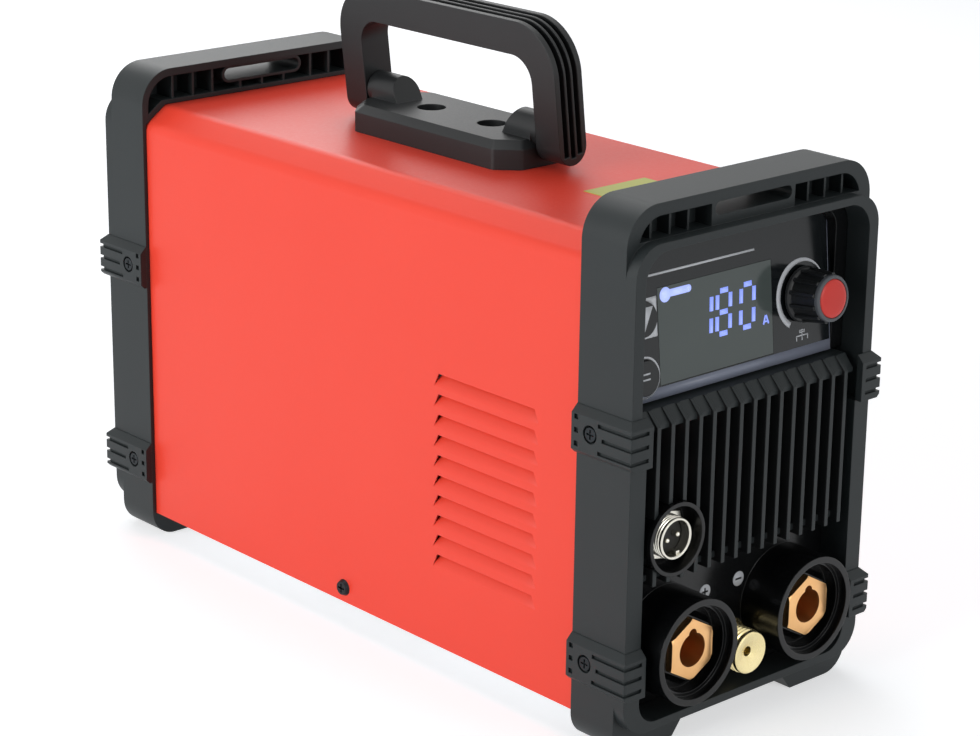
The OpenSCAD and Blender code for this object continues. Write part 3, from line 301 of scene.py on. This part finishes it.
metals = {
    # milled and turned brass: warm, softly streaked
    "turnedBrass": {"dark": "#e0aa6e", "light": "#f0c088", "rough": 0.34, "streak": 1.6,
                    "stretch": (1, 4, 1), "relief": 0.01, "cloud": 7},
    # bright turned brass of the gas fitting: paler and smoother
    "brightBrass": {"dark": "#e6d49a", "light": "#f2e3b2", "rough": 0.26, "streak": 1.2,
                    "stretch": (1, 5, 1), "relief": 0.006, "cloud": 7},
    # nickel plate over turned brass: bright with a yellowish tint
    "nickelPlate": {"dark": "#cfccc0", "light": "#e2dfd4", "rough": 0.2, "streak": 1.0,
                    "stretch": (1, 3, 1), "relief": 0.005, "cloud": 8},
    # zinc-plated sheet: cool grey with a broad spangle
    "zincPlate": {"dark": "#9fa5aa", "light": "#b4babf", "rough": 0.4, "streak": 6, "stretch": (1, 1, 1),
                  "relief": 0.006, "cloud": 14},
    # black oxide on steel screws: near black with a metallic sheen
    "blackOxide": {"dark": "#26292b", "light": "#33373a", "rough": 0.38, "streak": 1.5,
                   "stretch": (1, 1, 1), "relief": 0.008, "cloud": 3},
    # drawn aluminium with long die lines, and lacquered wire with its turns showing as relief
    "extrudedAluminium": {"dark": "#a3a7aa", "light": "#b5b9bc", "rough": 0.42, "streak": 1.5,
                          "stretch": (3, 0.2, 3), "relief": 0.008, "cloud": 20},
    "enamelledCopper": {"dark": "#8c4a22", "light": "#a65a2b", "rough": 0.3, "streak": 1.2,
                        "stretch": (1, 1, 4), "relief": 0.04, "cloud": 9},
}
coat = {"dark": "#ee4330", "light": "#f24835", "rough": 0.4, "peel": 1.5, "relief": 0.03,
        "cloud": 60, "shine": 0.35}
lamps = {
    "litSegment": {"dark": "#7d92ee", "light": "#93a4f6", "cloud": 5, "strength": 0.8},
    "litSymbol": {"dark": "#9fb0f6", "light": "#b0bdfa", "cloud": 5, "strength": 0.8},
}

finishes = {name: mouldedPlastic(name, spec) for name, spec in plastics.items()}
finishes.update({name: cutMetal(name, spec) for name, spec in metals.items()})
finishes["powderCoat"] = powderCoat("powderCoat", coat)
finishes.update({name: litSegment(name, spec) for name, spec in lamps.items()})
print("materials ready,", len(finishes))

# floor


def layFloor(spec):
    bm = bmesh.new()
    bmesh.ops.create_circle(bm, cap_ends=True, segments=96, radius=spec["floorRadius"] * mm)
    mesh = bpy.data.meshes.new("floor")
    bm.to_mesh(mesh)
    bm.free()
    floor = bpy.data.objects.new("floor", mesh)
    scene.collection.objects.link(floor)
    material, tree = newMaterial("paperSweep")  # matt white paper, which keeps a soft shadow
    diffuse = addNode(tree, "BsdfDiffuse", inputs={"Color": linear(spec["floor"])})
    lift = addNode(tree, "Emission", inputs={"Color": (1, 1, 1, 1), "Strength": spec["floorLift"]})
    bright = addNode(tree, "AddShader", links={0: diffuse.outputs[0], 1: lift.outputs[0]})
    mix = addNode(tree, "MixShader", links={
        0: seenStraight(tree), 1: diffuse.outputs[0], 2: bright.outputs[0]})
    finishMaterial(tree, mix)
    mesh.materials.append(material)


layFloor(studio)

# how a piece is made and placed

bodies = frame["record"]["behaviour"]["bodies"]
bodyOf = {node: body for body, members in bodies.items() for node in members}


def addPiece(name, bm, finish, node, replaced=True, smoothAngle=35):
    # the piece takes the place and body of the CAD node that it belongs to
    for face in bm.faces:
        face.smooth = True
    limit = math.radians(smoothAngle)
    for edge in bm.edges:
        edge.smooth = len(edge.link_faces) != 2 or edge.calc_face_angle(0) < limit
    mesh = bpy.data.meshes.new(name)
    bm.to_mesh(mesh)
    bm.free()
    mesh.materials.append(finishes[finish])
    piece = bpy.data.objects.new(name, mesh)
    scene.collection.objects.link(piece)
    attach(piece, bodyOf[node])
    if replaced:
        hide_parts(node)
    return piece


def softenEdges(piece, width, segments=2):
    bevel = piece.modifiers.new("softEdges", "BEVEL")
    bevel.width = width * mm
    bevel.segments = segments
    bevel.limit_method = "ANGLE"
    bevel.angle_limit = math.radians(30)
    bevel.use_clamp_overlap = True
    bevel.harden_normals = True


mergeReach = 0.1  # mm; shorter edges than this would stop a bevel
flatAngle = 0.05  # degrees; faces that differ by less become one


def carryOver(node, finish, edge):
    # the CAD shape as one clean mesh, with the small radius that every moulded or turned edge has
    bm = bmesh.new()
    bm.from_mesh(nodes[node].data)
    bmesh.ops.remove_doubles(bm, verts=bm.verts, dist=(mergeReach if edge else 0.001) * mm)
    bmesh.ops.dissolve_limit(bm, angle_limit=math.radians(flatAngle), verts=bm.verts, edges=bm.edges)
    piece = addPiece(node + "_finished", bm, finish, node)
    if edge:
        softenEdges(piece, edge)
    return piece


def paintShadeOnFlanks(piece, finish, facing=0.9):
    # faces that look sideways take the second, darker finish, as painted shade
    piece.data.materials.append(finishes[finish])
    for polygon in piece.data.polygons:
        if abs(polygon.normal.x) > facing:
            polygon.material_index = 1


def repaint(node, finish):
    data = nodes[node].data
    data.materials.clear()
    data.materials.append(finishes[finish])


carried = {
    # node: finish, edge radius in mm
    "front_frame": ("charcoalAbs", 0),
    "rear_frame": ("charcoalAbs", 0),
    "front_panel": ("glossAbs", 0.3),
    "front_grille": ("charcoalAbs", 0.25),
    "display_panel": ("panelFilm", 0.2),
    "rear_panel": ("blackNylon", 0.2),
    "handle_base": ("blackNylon", 0),
    "handle_bail": ("blackNylon", 0.9),
    "negative_socket": ("turnedBrass", 0.25),
    "positive_socket": ("turnedBrass", 0.25),
    "torch_connector_insert": ("blackEpoxy", 0.15),
    "bumper_screws": ("blackOxide", 0.15),
    "cover_screws": ("blackOxide", 0.15),
    "fan_screws": ("blackOxide", 0.15),
    "handle_screws": ("zincPlate", 0.2),
    "fan_housing": ("blackNylon", 0.5),
    "fan_rotor": ("blackNylon", 0.3),
    "fan_guard": ("blackNylon", 0.4),
    "power_switch_body": ("blackNylon", 0.3),
    "power_switch_rocker": ("glossAbs", 0.25),
    "cable_gland": ("blackNylon", 0.5),
    "gas_inlet": ("brightBrass", 0.3),
    "chassis_tray": ("zincPlate", 0.2),
}
for end in ("front", "rear"):
    for side in ("left", "right"):
        for level in ("upper", "lower"):
            carried[f"bumper_{end}_{side}_{level}"] = ("charcoalAbs", 0)
for node, (finish, edge) in carried.items():
    piece = carryOver(node, finish, edge)
    if node == "front_grille":
        # the grille's sideways flanks take a darker finish: painted shade between the ribs
        paintShadeOnFlanks(piece, "paintedShadeAbs")
print("carried over,", len(carried))

repainted = {
    "lcd_module": "zincPlate", "encoder_body": "zincPlate", "encoder_plunger": "zincPlate",
    "encoder_shaft": "zincPlate", "button_switches": "blackEpoxy", "control_board": "solderMask",
    "panel_nuts": "zincPlate", "torch_connector_pins": "nickelPlate", "handle_pins": "zincPlate",
    "handle_bracket": "zincPlate", "gas_valve": "zincPlate", "gas_hose": "hoseRubber",
    "power_board": "solderMask", "board_standoffs": "turnedBrass", "heat_sinks": "extrudedAluminium",
    "power_transistors": "blackEpoxy", "filter_capacitors": "shrinkSleeve",
    "main_transformer": "enamelledCopper", "output_choke": "enamelledCopper",
    "output_busbars": "turnedBrass", "top_label": "yellowVinyl", "lcd_window": "displayWindow",
    "mode_button": "blackNylon",
    "select_button": "blackNylon",
}
for node, finish in repainted.items():
    repaint(node, finish)
print("repainted,", len(repainted))

# red steel cover

coverSpec = {
    "halfWidth": 60.7,  # mm, as all sizes below
    "bottom": 10.9,
    "top": 188.6,
    "fold": (9.9, 7.3),
    "foldRadius": 6,
    "halfLength": 141.5,
    "sheet": 0.9,
    "louvreCount": 10,
    "louvrePitch": 8.0,
    "louvreHeight": 5.6,
    "louvreLength": 57.6,
    "louvreSlant": 2.6,
    "louvreMiddle": -79.9,
    "louvreTop": 120.5,
    "louvreDepth": 3.3,
    "louvreCuts": 7,
    "extraRow": 150,  # heights and depths where the sheet is only divided
    "extraTop": 25,
    "extraColumns": [20, 80],
}


def foldArc(x, z, radius, start, end, steps=4):
    # a sheet bent round the corner at x, z: the angles are those of its outward normals
    reach = radius * math.tan((end - start) / 2)
    firstX, firstZ = x + reach * math.sin(start), z - reach * math.cos(start)
    centreX, centreZ = firstX - radius * math.cos(start), firstZ - radius * math.sin(start)
    angles = [start + (end - start) * i / steps for i in range(steps + 1)]
    return [(centreX + radius * math.cos(a), centreZ + radius * math.sin(a)) for a in angles]


def makeCover(spec):
    side, top = spec["halfWidth"], spec["top"]
    lowest = spec["louvreTop"] - spec["louvreHeight"]
    lows = [lowest - i * spec["louvrePitch"] for i in range(spec["louvreCount"])]
    rows = [(side, spec["bottom"])]
    for low in reversed(lows):
        rows += [(side, low), (side, low + spec["louvreHeight"])]
    rows.append((side, spec["extraRow"]))
    foldX, foldZ = spec["fold"]
    slope = math.atan2(foldX, foldZ)
    rows += foldArc(side, top - foldZ, spec["foldRadius"], 0, slope)
    rows += foldArc(side - foldX, top, spec["foldRadius"], slope, math.pi / 2)
    rows += [(spec["extraTop"], top), (0, top)]
    near = spec["louvreMiddle"] - spec["louvreLength"] / 2
    far = spec["louvreMiddle"] + spec["louvreLength"] / 2
    columns = [-spec["halfLength"], near, far, *spec["extraColumns"], spec["halfLength"]]
    bm = bmesh.new()
    bmesh.ops.create_grid(bm, x_segments=len(columns) - 1, y_segments=len(rows) - 1, size=1)
    for vert in bm.verts:
        column = round((vert.co.x + 1) / 2 * (len(columns) - 1))
        row = round((vert.co.y + 1) / 2 * (len(rows) - 1))
        y = columns[column]
        if row % 2 == 0 and 0 < row <= 2 * spec["louvreCount"] and column in (1, 2):
            y += spec["louvreSlant"] * (1 if column == 1 else -1)
        vert.co = Vector((rows[row][0], y, rows[row][1])) * mm
    for low in lows:
        pressLouvre(bm, spec, low, near, far)
    bmesh.ops.mirror(bm, geom=bm.verts[:] + bm.edges[:] + bm.faces[:], axis="X", merge_dist=1e-5)
    bmesh.ops.recalc_face_normals(bm, faces=bm.faces)
    highest = max(bm.faces, key=lambda face: face.calc_center_median().z)
    if highest.normal.z < 0:
        bmesh.ops.reverse_faces(bm, faces=bm.faces)
    cover = addPiece("powderCoatedCover", bm, "powderCoat", "shell_cover", smoothAngle=50)
    wall = cover.modifiers.new("sheet", "SOLIDIFY")
    wall.thickness = spec["sheet"] * mm
    wall.offset = -1
    flat = cover.modifiers.new("flatFaces", "WEIGHTED_NORMAL")
    flat.keep_sharp = True
    flat.weight = 100
    print("cover folded,", 2 * spec["louvreCount"], "louvres")


def pressLouvre(bm, spec, low, near, far):
    # the flap is cut on three sides and bent in along its lower edge
    centre = Vector((spec["halfWidth"], (near + far) / 2, low + spec["louvreHeight"] / 2)) * mm
    flap = min(bm.faces, key=lambda f: (f.calc_center_median() - centre).length)
    bmesh.ops.subdivide_edges(bm, edges=flap.edges[:], cuts=spec["louvreCuts"], use_grid_fill=True)
    high = low + spec["louvreHeight"]
    inside = set()
    for face in bm.faces:
        c = face.calc_center_median() / mm
        within = low < c.z < high and near < c.y < far
        if within and abs(c.x - spec["halfWidth"]) < 0.01 and len(face.verts) == 4:
            inside.add(face)
    cuts = []
    for edge in bm.edges:
        sharing = [f for f in edge.link_faces if f in inside]
        if len(sharing) == 1 and max(v.co.z for v in edge.verts) / mm > low + 0.01:
            cuts.append(edge)
    bmesh.ops.split_edges(bm, edges=cuts)
    for vert in {v for f in inside for v in f.verts}:
        rise = (vert.co.z / mm - low) / spec["louvreHeight"]
        vert.co.x -= spec["louvreDepth"] * max(rise, 0) ** 1.5 * mm


makeCover(coverSpec)

# display panel: a tilted plane, with -Y pointing out of it

panelSpec = {
    "place": (0, -144.2, 157.25),
    "tilt": -5.7,
    "middle": 157.25,  # heights below are given above the floor, before the tilt
}
panelPlace = Matrix.Translation(Vector(panelSpec["place"]) * mm)
panelPlace = panelPlace @ Matrix.Rotation(math.radians(panelSpec["tilt"]), 4, "X")


def onPanel(x, z, out=0.0):
    return Matrix.Translation(Vector((x, -out, z - panelSpec["middle"])) * mm)


def placeOnPanel(bm):
    bmesh.ops.transform(bm, matrix=panelPlace, verts=bm.verts)
    bmesh.ops.recalc_face_normals(bm, faces=bm.faces)
    outward = panelPlace.to_3x3() @ Vector((0, -1, 0))
    for face in bm.faces:
        if face.normal.dot(outward) < 0:
            face.normal_flip()


def printed(name, bm, finish, node="display_panel"):
    # a layer of ink, 0.05 mm thick
    placeOnPanel(bm)
    piece = addPiece(name, bm, finish, node, replaced=False)
    film = piece.modifiers.new("film", "SOLIDIFY")
    film.thickness = 0.05 * mm
    film.offset = -1


def addBar(bm, x, z, width, height, out, points=4, turn=0.0):
    # an upright rectangle, or with six points a bar with pointed ends
    start = bmesh.ops.create_circle(bm, cap_ends=True, segments=points, radius=1)["verts"]
    for vert in start:
        u, w = vert.co.x, vert.co.y
        if points == 4:
            u, w = (u - w) / 2, (u + w) / 2
            vert.co = Vector((u * width, 0, w * height)) * mm
        elif abs(u) > 0.9:
            vert.co = Vector((math.copysign(width / 2, u), 0, 0)) * mm
        else:
            end = width / 2 - height / 2
            vert.co = Vector((math.copysign(end, u), 0, math.copysign(height / 2, w))) * mm
    place = onPanel(x, z, out) @ Matrix.Rotation(math.radians(turn), 4, "Y")
    bmesh.ops.transform(bm, matrix=place, verts=start)


upright = Matrix.Rotation(math.pi / 2, 4, "X")


def addDisc(bm, x, z, radius, out):
    disc = bmesh.ops.create_circle(bm, cap_ends=True, segments=40, radius=radius * mm)["verts"]
    bmesh.ops.transform(bm, matrix=onPanel(x, z, out) @ upright, verts=disc)


def addArc(bm, x, z, radius, width, start, end, out, taper=0.0):
    # a band swept from one angle to the other, with its width fading over the last part
    full = abs(end - start) >= 360
    inner = bm.verts.new(Vector((radius - width / 2, 0, 0)) * mm)
    outer = bm.verts.new(Vector((radius + width / 2, 0, 0)) * mm)
    edge = bm.edges.new((inner, outer))
    turn = Matrix.Rotation(-math.radians(start), 4, "Y")
    bmesh.ops.transform(bm, matrix=turn, verts=[inner, outer])
    before = set(bm.verts)
    bmesh.ops.spin(bm, geom=[inner, outer, edge], cent=(0, 0, 0), axis=(0, 1, 0),
                   angle=-math.radians(end - start), steps=56, use_merge=full)
    band = [v for v in bm.verts if v not in before or v in (inner, outer)]
    if taper:
        for vert in band:
            angle = math.degrees(math.atan2(vert.co.z, vert.co.x)) % 360
            along = (angle - start) / (end - start) if not full else 0
            if along > 1 or along < 0:
                along = ((angle - 360) - start) / (end - start)
            fade = min(1.0, max(0.0, (1 - along) / taper))
            length = math.hypot(vert.co.x, vert.co.z) / mm
            wanted = radius + (length - radius) * (0.12 + 0.88 * fade)
            vert.co *= wanted / length
    bmesh.ops.transform(bm, matrix=onPanel(x, z, out), verts=band)


displaySpec = {
    "digitHeight": 17.5,
    "digitWidth": 8.6,
    "stroke": 1.9,
    "gap": 0.35,
    "middle": 155.1,
    "lean": 4,
    "digits": {"1": -11.6, "8": -5.2, "0": 7.1},  # middle of each digit
    "out": 0.07,
    # unit sign, a small A: middle, then leg and crossbar as width and height
    "unit": (16.6, 148),
    "unitLeg": (3.5, 0.75),
    "unitCrossbar": (1.8, 0.6),
    # symbol: a disc with a round-ended bar
    "symbolDisc": (-34.3, 166.7, 2.7),
    "symbolBar": (-27.4, 166.9, 9.6, 2.7),
    "symbolEnd": (-22.6, 166.9, 1.35),
}
# which of the seven bars are lit: top, upper left, upper right, middle, lower left, lower right, foot
litBars = {"0": "1110111", "1": "0010010", "8": "1111111"}


def makeDigits(spec):
    bm = bmesh.new()
    half, stroke = spec["digitHeight"] / 2, spec["stroke"]
    reach = (spec["digitWidth"] - stroke) / 2
    for digit, x in spec["digits"].items():
        high, side = half - stroke / 2, half / 2 - stroke / 4
        bars = [(0, high, 0), (-reach, side, 90), (reach, side, 90), (0, 0, 0),
                (-reach, -side, 90), (reach, -side, 90), (0, -high, 0)]
        for (dx, dz, turn), lit in zip(bars, litBars[digit]):
            if lit == "0":
                continue
            if digit == "1":
                dx -= reach
            length = (2 * reach if turn == 0 else half - stroke / 2) - spec["gap"] * 2
            shift = math.tan(math.radians(spec["lean"])) * dz
            addBar(bm, x + dx + shift, spec["middle"] + dz, length, stroke, spec["out"], 6,
                   turn + (spec["lean"] if turn else 0))
    x, z = spec["unit"]
    for dx, turn in ((-0.75, -70), (0.75, 70)):
        addBar(bm, x + dx, z, *spec["unitLeg"], spec["out"], 4, turn)
    addBar(bm, x, z - 0.7, *spec["unitCrossbar"], spec["out"])
    printed("displayDigits", bm, "litSegment", "lcd_window")
    bm = bmesh.new()
    addDisc(bm, *spec["symbolDisc"], spec["out"])
    addBar(bm, *spec["symbolBar"], spec["out"] + 0.01)
    addDisc(bm, *spec["symbolEnd"], spec["out"] + 0.02)
    printed("displaySymbol", bm, "litSymbol", "lcd_window")


makeDigits(displaySpec)

panelPrint = {
    "rule": (-21.2, 174.8, 65.5, 0.8),  # middle x, middle z, width, height
    "strip": (-1.4, 132.2, 104.6, 4.1),
    # a thin light line along the display recess's right edge: a painted highlight in grey ink
    "paintedEdgeHighlight": (50.75, 158.8, 0.3, 49),
    "arc": (36.1, 154.0, 12.6, 2.2, 238, 28),  # middle x and z, radius, width, two angles
    "menu": (35.7, 138.7),
    "mode": (-46, 160),
    "select": (-46, 139),
    "modeFrame": (14.4, 6.6),  # side and radius of the hole
    "selectRing": (7.3, 0.75),
    "triangle": 8.6,
    "selectLine": (3.6, 0.6),
    "out": 0.06,
    "buttonOut": 1.27,  # how far the buttons' faces stand out
}


def printPanel(spec):
    out = spec["out"]
    bm = bmesh.new()
    addBar(bm, *spec["rule"], out)
    addArc(bm, *spec["arc"], out, taper=0.45)
    x, z = spec["menu"]  # a small branching bracket
    addBar(bm, x, z + 1.7, 2.4, 0.45, out)
    addBar(bm, x, z + 0.9, 2.4, 0.45, out)
    addBar(bm, x - 1.2, z + 1.3, 0.45, 1.2, out)
    addBar(bm, x + 1.2, z + 1.3, 0.45, 1.2, out)
    addBar(bm, x, z, 0.45, 1.6, out)
    addBar(bm, x, z - 0.3, 6.4, 0.45, out)
    for dx in (-3.0, 0, 3.0):
        addBar(bm, x + dx, z - 1.2, 0.45, 1.8, out)
    # frames of the two buttons
    addSquareFrame(bm, *spec["mode"], *spec["modeFrame"], out)
    addArc(bm, *spec["select"], *spec["selectRing"], 0, 360, out)
    printed("panelPrint", bm, "whiteInk")
    bm = bmesh.new()
    addBar(bm, *spec["strip"], out)
    # the grey strip is real print; the thin line beside it is a painted highlight of the recess's edge
    addBar(bm, *spec["paintedEdgeHighlight"], out + 0.01)
    printed("panelStripAndPaintedHighlight", bm, "greyFilm")
    bm = bmesh.new()
    x, z = spec["mode"]
    addBar(bm, x, z, spec["triangle"], spec["triangle"], spec["buttonOut"])
    for vert in bm.verts:  # the square becomes a triangle that points down
        if vert.co.z / mm + panelSpec["middle"] < z:
            vert.co.x = x * mm
    bmesh.ops.remove_doubles(bm, verts=bm.verts, dist=1e-6)
    printed("modeTriangle", bm, "whiteInk", "mode_button")
    bm = bmesh.new()
    x, z = spec["select"]
    addBar(bm, x, z + 1.6, *spec["selectLine"], spec["buttonOut"])
    addBar(bm, x, z - 0.4, *spec["selectLine"], spec["buttonOut"])
    printed("selectLines", bm, "whiteInk", "select_button")


def addSquareFrame(bm, x, z, side, hole, out):
    inner = bmesh.ops.create_circle(bm, cap_ends=False, segments=64, radius=hole * mm)["verts"]
    outer = bmesh.ops.create_circle(bm, cap_ends=False, segments=64, radius=side / 2 * mm)["verts"]
    for vert in outer:
        vert.co /= max(abs(vert.co.x), abs(vert.co.y)) / (side / 2 * mm)
    edges = list({edge for vert in inner + outer for edge in vert.link_edges})
    bmesh.ops.bridge_loops(bm, edges=edges)
    bmesh.ops.transform(bm, matrix=onPanel(x, z, out) @ upright, verts=inner + outer)


printPanel(panelPrint)
print("panel printed")

# turned pieces


def turnedShape(profile, place, steps=64):
    # profile: radius and distance out along -Y, in mm; the outline is spun round that axis
    bm = bmesh.new()
    verts = [bm.verts.new(Vector((r, -out, 0)) * mm) for r, out in profile]
    edges = [bm.edges.new(pair) for pair in zip(verts, verts[1:] + verts[:1])]
    bmesh.ops.spin(bm, geom=verts + edges, cent=(0, 0, 0), axis=(0, 1, 0),
                   angle=math.tau, steps=steps, use_merge=True)
    bmesh.ops.remove_doubles(bm, verts=bm.verts, dist=1e-6)
    bmesh.ops.recalc_face_normals(bm, faces=bm.faces)
    bmesh.ops.transform(bm, matrix=place, verts=bm.verts)
    return bm


def threadProfile(crest, root, pitch, start, end):
    # ridges from start to end, as plain rings
    turns = int(abs(end - start) / pitch)
    step = pitch if end > start else -pitch
    points = []
    for i in range(turns):
        base = start + i * step
        points += [(root, base + step * 0.1), (crest, base + step * 0.45), (crest, base + step * 0.6),
                   (root, base + step * 0.95)]
    return points


knobSpec = {
    "place": (36.1, 154.0),
    "body": [(3.2, 1.2), (10.2, 1.0), (10.5, 1.3), (10.5, 2.3), (10.2, 2.7), (9.3, 3.2),
             (8.9, 6.0), (8.5, 14.2), (8.2, 14.6), (7.0, 14.6), (7.0, 14.0), (3.2, 14.0)],
    "ring": [(7.25, 13.8), (7.25, 15.3), (7.45, 15.6), (8.0, 15.6), (8.55, 15.1), (8.7, 14.4),
             (8.7, 13.8)],
    "cap": [(0, 14.0), (0, 15.9), (3.5, 15.87), (5.6, 15.78), (6.7, 15.6), (7.1, 15.3),
            (7.15, 14.9), (7.15, 14.0)],
    "ribs": 12,
    "ribWidth": 1.9,
    "ribCrest": (9.4, 10.15),  # radius at the front and at the back
    "ribFoot": 7.6,
    "ribEnds": (13.9, 2.5),  # how far out its front and back end are
}


def makeKnob(spec):
    x, z = spec["place"]
    place = panelPlace @ onPanel(x, z)
    bm = turnedShape(spec["body"], place)
    body = addPiece("knobBody", bm, "knobNylon", "control_knob")
    softenEdges(body, 0.15)
    bm = turnedShape(spec["ring"], place)
    softenEdges(addPiece("knobRing", bm, "greyNylon", "control_knob", replaced=False), 0.1)
    bm = turnedShape(spec["cap"], place)
    addPiece("knobCap", bm, "redCap", "knob_cap")
    bm = bmesh.new()
    for i in range(spec["ribs"]):
        rib = bmesh.ops.create_cube(bm, size=1)["verts"]
        for vert in rib:
            front = vert.co.y < 0
            end = 0 if front else 1
            vert.co.x *= spec["ribWidth"] * (0.8 if vert.co.z > 0 else 1)
            vert.co.z = spec["ribCrest"][end] if vert.co.z > 0 else spec["ribFoot"]
            vert.co.y = -spec["ribEnds"][end]
            vert.co *= mm
        turn = Matrix.Rotation(math.tau * (i + 0.5) / spec["ribs"], 4, "Y")
        bmesh.ops.transform(bm, matrix=place @ turn, verts=rib)
    softenEdges(addPiece("knobRibs", bm, "knobNylon", "control_knob", replaced=False), 0.3)


makeKnob(knobSpec)

gasSpec = {
    "place": (0, 26.5),
    "profile": [(0, 150.0), (1.9, 150.0), (1.9, 158.3), (7.3, 160.2), (7.8, 160.2), (8.15, 159.85),
                (8.2, 158.4)],
    "thread": (8.5, 7.75, 1.55, 158.2, 148.6),  # crest, root, pitch, front end, back end
    "back": [(7.8, 148.2), (10.0, 147.8), (10.0, 144.2), (8.5, 144.2), (8.5, 136.7), (3.0, 136.7),
             (3.0, 123.7), (0, 123.7)],
}


def makeGasOutlet(spec):
    x, z = spec["place"]
    place = Matrix.Translation(Vector((x, 0, z)) * mm)
    profile = spec["profile"] + threadProfile(*spec["thread"]) + spec["back"]
    bm = turnedShape(profile, place, 72)
    outlet = addPiece("gasOutletTurned", bm, "brightBrass", "gas_outlet")
    softenEdges(outlet, 0.08, 1)


makeGasOutlet(gasSpec)

torchSpec = {
    "place": (-39.5, 81.0),
    "front": [(6.7, 150.0), (6.7, 157.7), (6.95, 158.0), (7.55, 158.0), (7.8, 157.7),
              (7.8, 157.0)],
    "thread": (8.0, 7.4, 1.05, 156.9, 152.4),
    "back": [(7.6, 152.2), (7.6, 137.7), (5.6, 137.7), (5.6, 150.0)],
    "nut": [(7.5, 152.7), (10.2, 152.7), (10.6, 152.3), (10.6, 149.75), (7.5, 149.75)],
    "nutTurn": 12,
    "keySize": (1.8, 5.0, 1.6),
    "keyRadius": 6.2,
    "keyAngle": -72,
    "keyOut": 154.6,
}


def makeTorchConnector(spec):
    x, z = spec["place"]
    place = Matrix.Translation(Vector((x, 0, z)) * mm)
    profile = spec["front"] + threadProfile(*spec["thread"]) + spec["back"]
    node = "torch_connector_shell"
    shell = addPiece("torchShellTurned", turnedShape(profile, place, 64), "nickelPlate", node)
    softenEdges(shell, 0.06, 1)
    turned = place @ Matrix.Rotation(math.radians(spec["nutTurn"]), 4, "Y")
    nut = addPiece("torchNut", turnedShape(spec["nut"], turned, 6), "nickelPlate", node, replaced=False)
    softenEdges(nut, 0.2)
    bm = bmesh.new()
    key = bmesh.ops.create_cube(bm, size=1)["verts"]
    bmesh.ops.scale(bm, vec=Vector(spec["keySize"]) * mm, verts=key)
    angle, radius = math.radians(spec["keyAngle"]), spec["keyRadius"]
    middle = Vector((x + radius * math.cos(angle), -spec["keyOut"], z + radius * math.sin(angle)))
    bmesh.ops.translate(bm, vec=middle * mm, verts=key)
    softenEdges(addPiece("torchKey", bm, "nickelPlate", node, replaced=False), 0.3)


makeTorchConnector(torchSpec)
print("knob and fittings turned")

# polarity signs on the front panel

signSpec = {"plus": (-9.0, 48.1), "minus": (8.9, 48.6), "radius": 2.9, "stroke": 0.75,
            "bar": 3.2, "face": 144.2}


def makeSigns(spec):
    white, black = bmesh.new(), bmesh.new()
    for name in ("plus", "minus"):
        x, z = spec[name]
        disc = bmesh.ops.create_circle(white, cap_ends=True, segments=48,
                                       radius=spec["radius"] * mm)["verts"]
        centre = Vector((x, -spec["face"] - 0.06, z)) * mm
        bmesh.ops.transform(white, matrix=Matrix.Translation(centre) @ upright, verts=disc)
        for turn in ((0, 90) if name == "plus" else (0,)):
            bar = bmesh.ops.create_grid(black, x_segments=1, y_segments=1, size=0.5)["verts"]
            bmesh.ops.scale(black, vec=Vector((spec["bar"], spec["stroke"], 1)) * mm, verts=bar)
            place = Matrix.Translation(centre + Vector((0, -0.05, 0)) * mm) @ upright
            place = place @ Matrix.Rotation(math.radians(turn), 4, "Z")
            bmesh.ops.transform(black, matrix=place, verts=bar)
    for name, bm, finish in (("signDiscs", white, "whiteInk"), ("signBars", black, "blackInk")):
        for face in bm.faces:
            if face.normal.y > 0:
                face.normal_flip()
        piece = addPiece(name, bm, finish, "front_panel", replaced=False)
        film = piece.modifiers.new("film", "SOLIDIFY")
        film.thickness = 0.04 * mm
        film.offset = -1


makeSigns(signSpec)
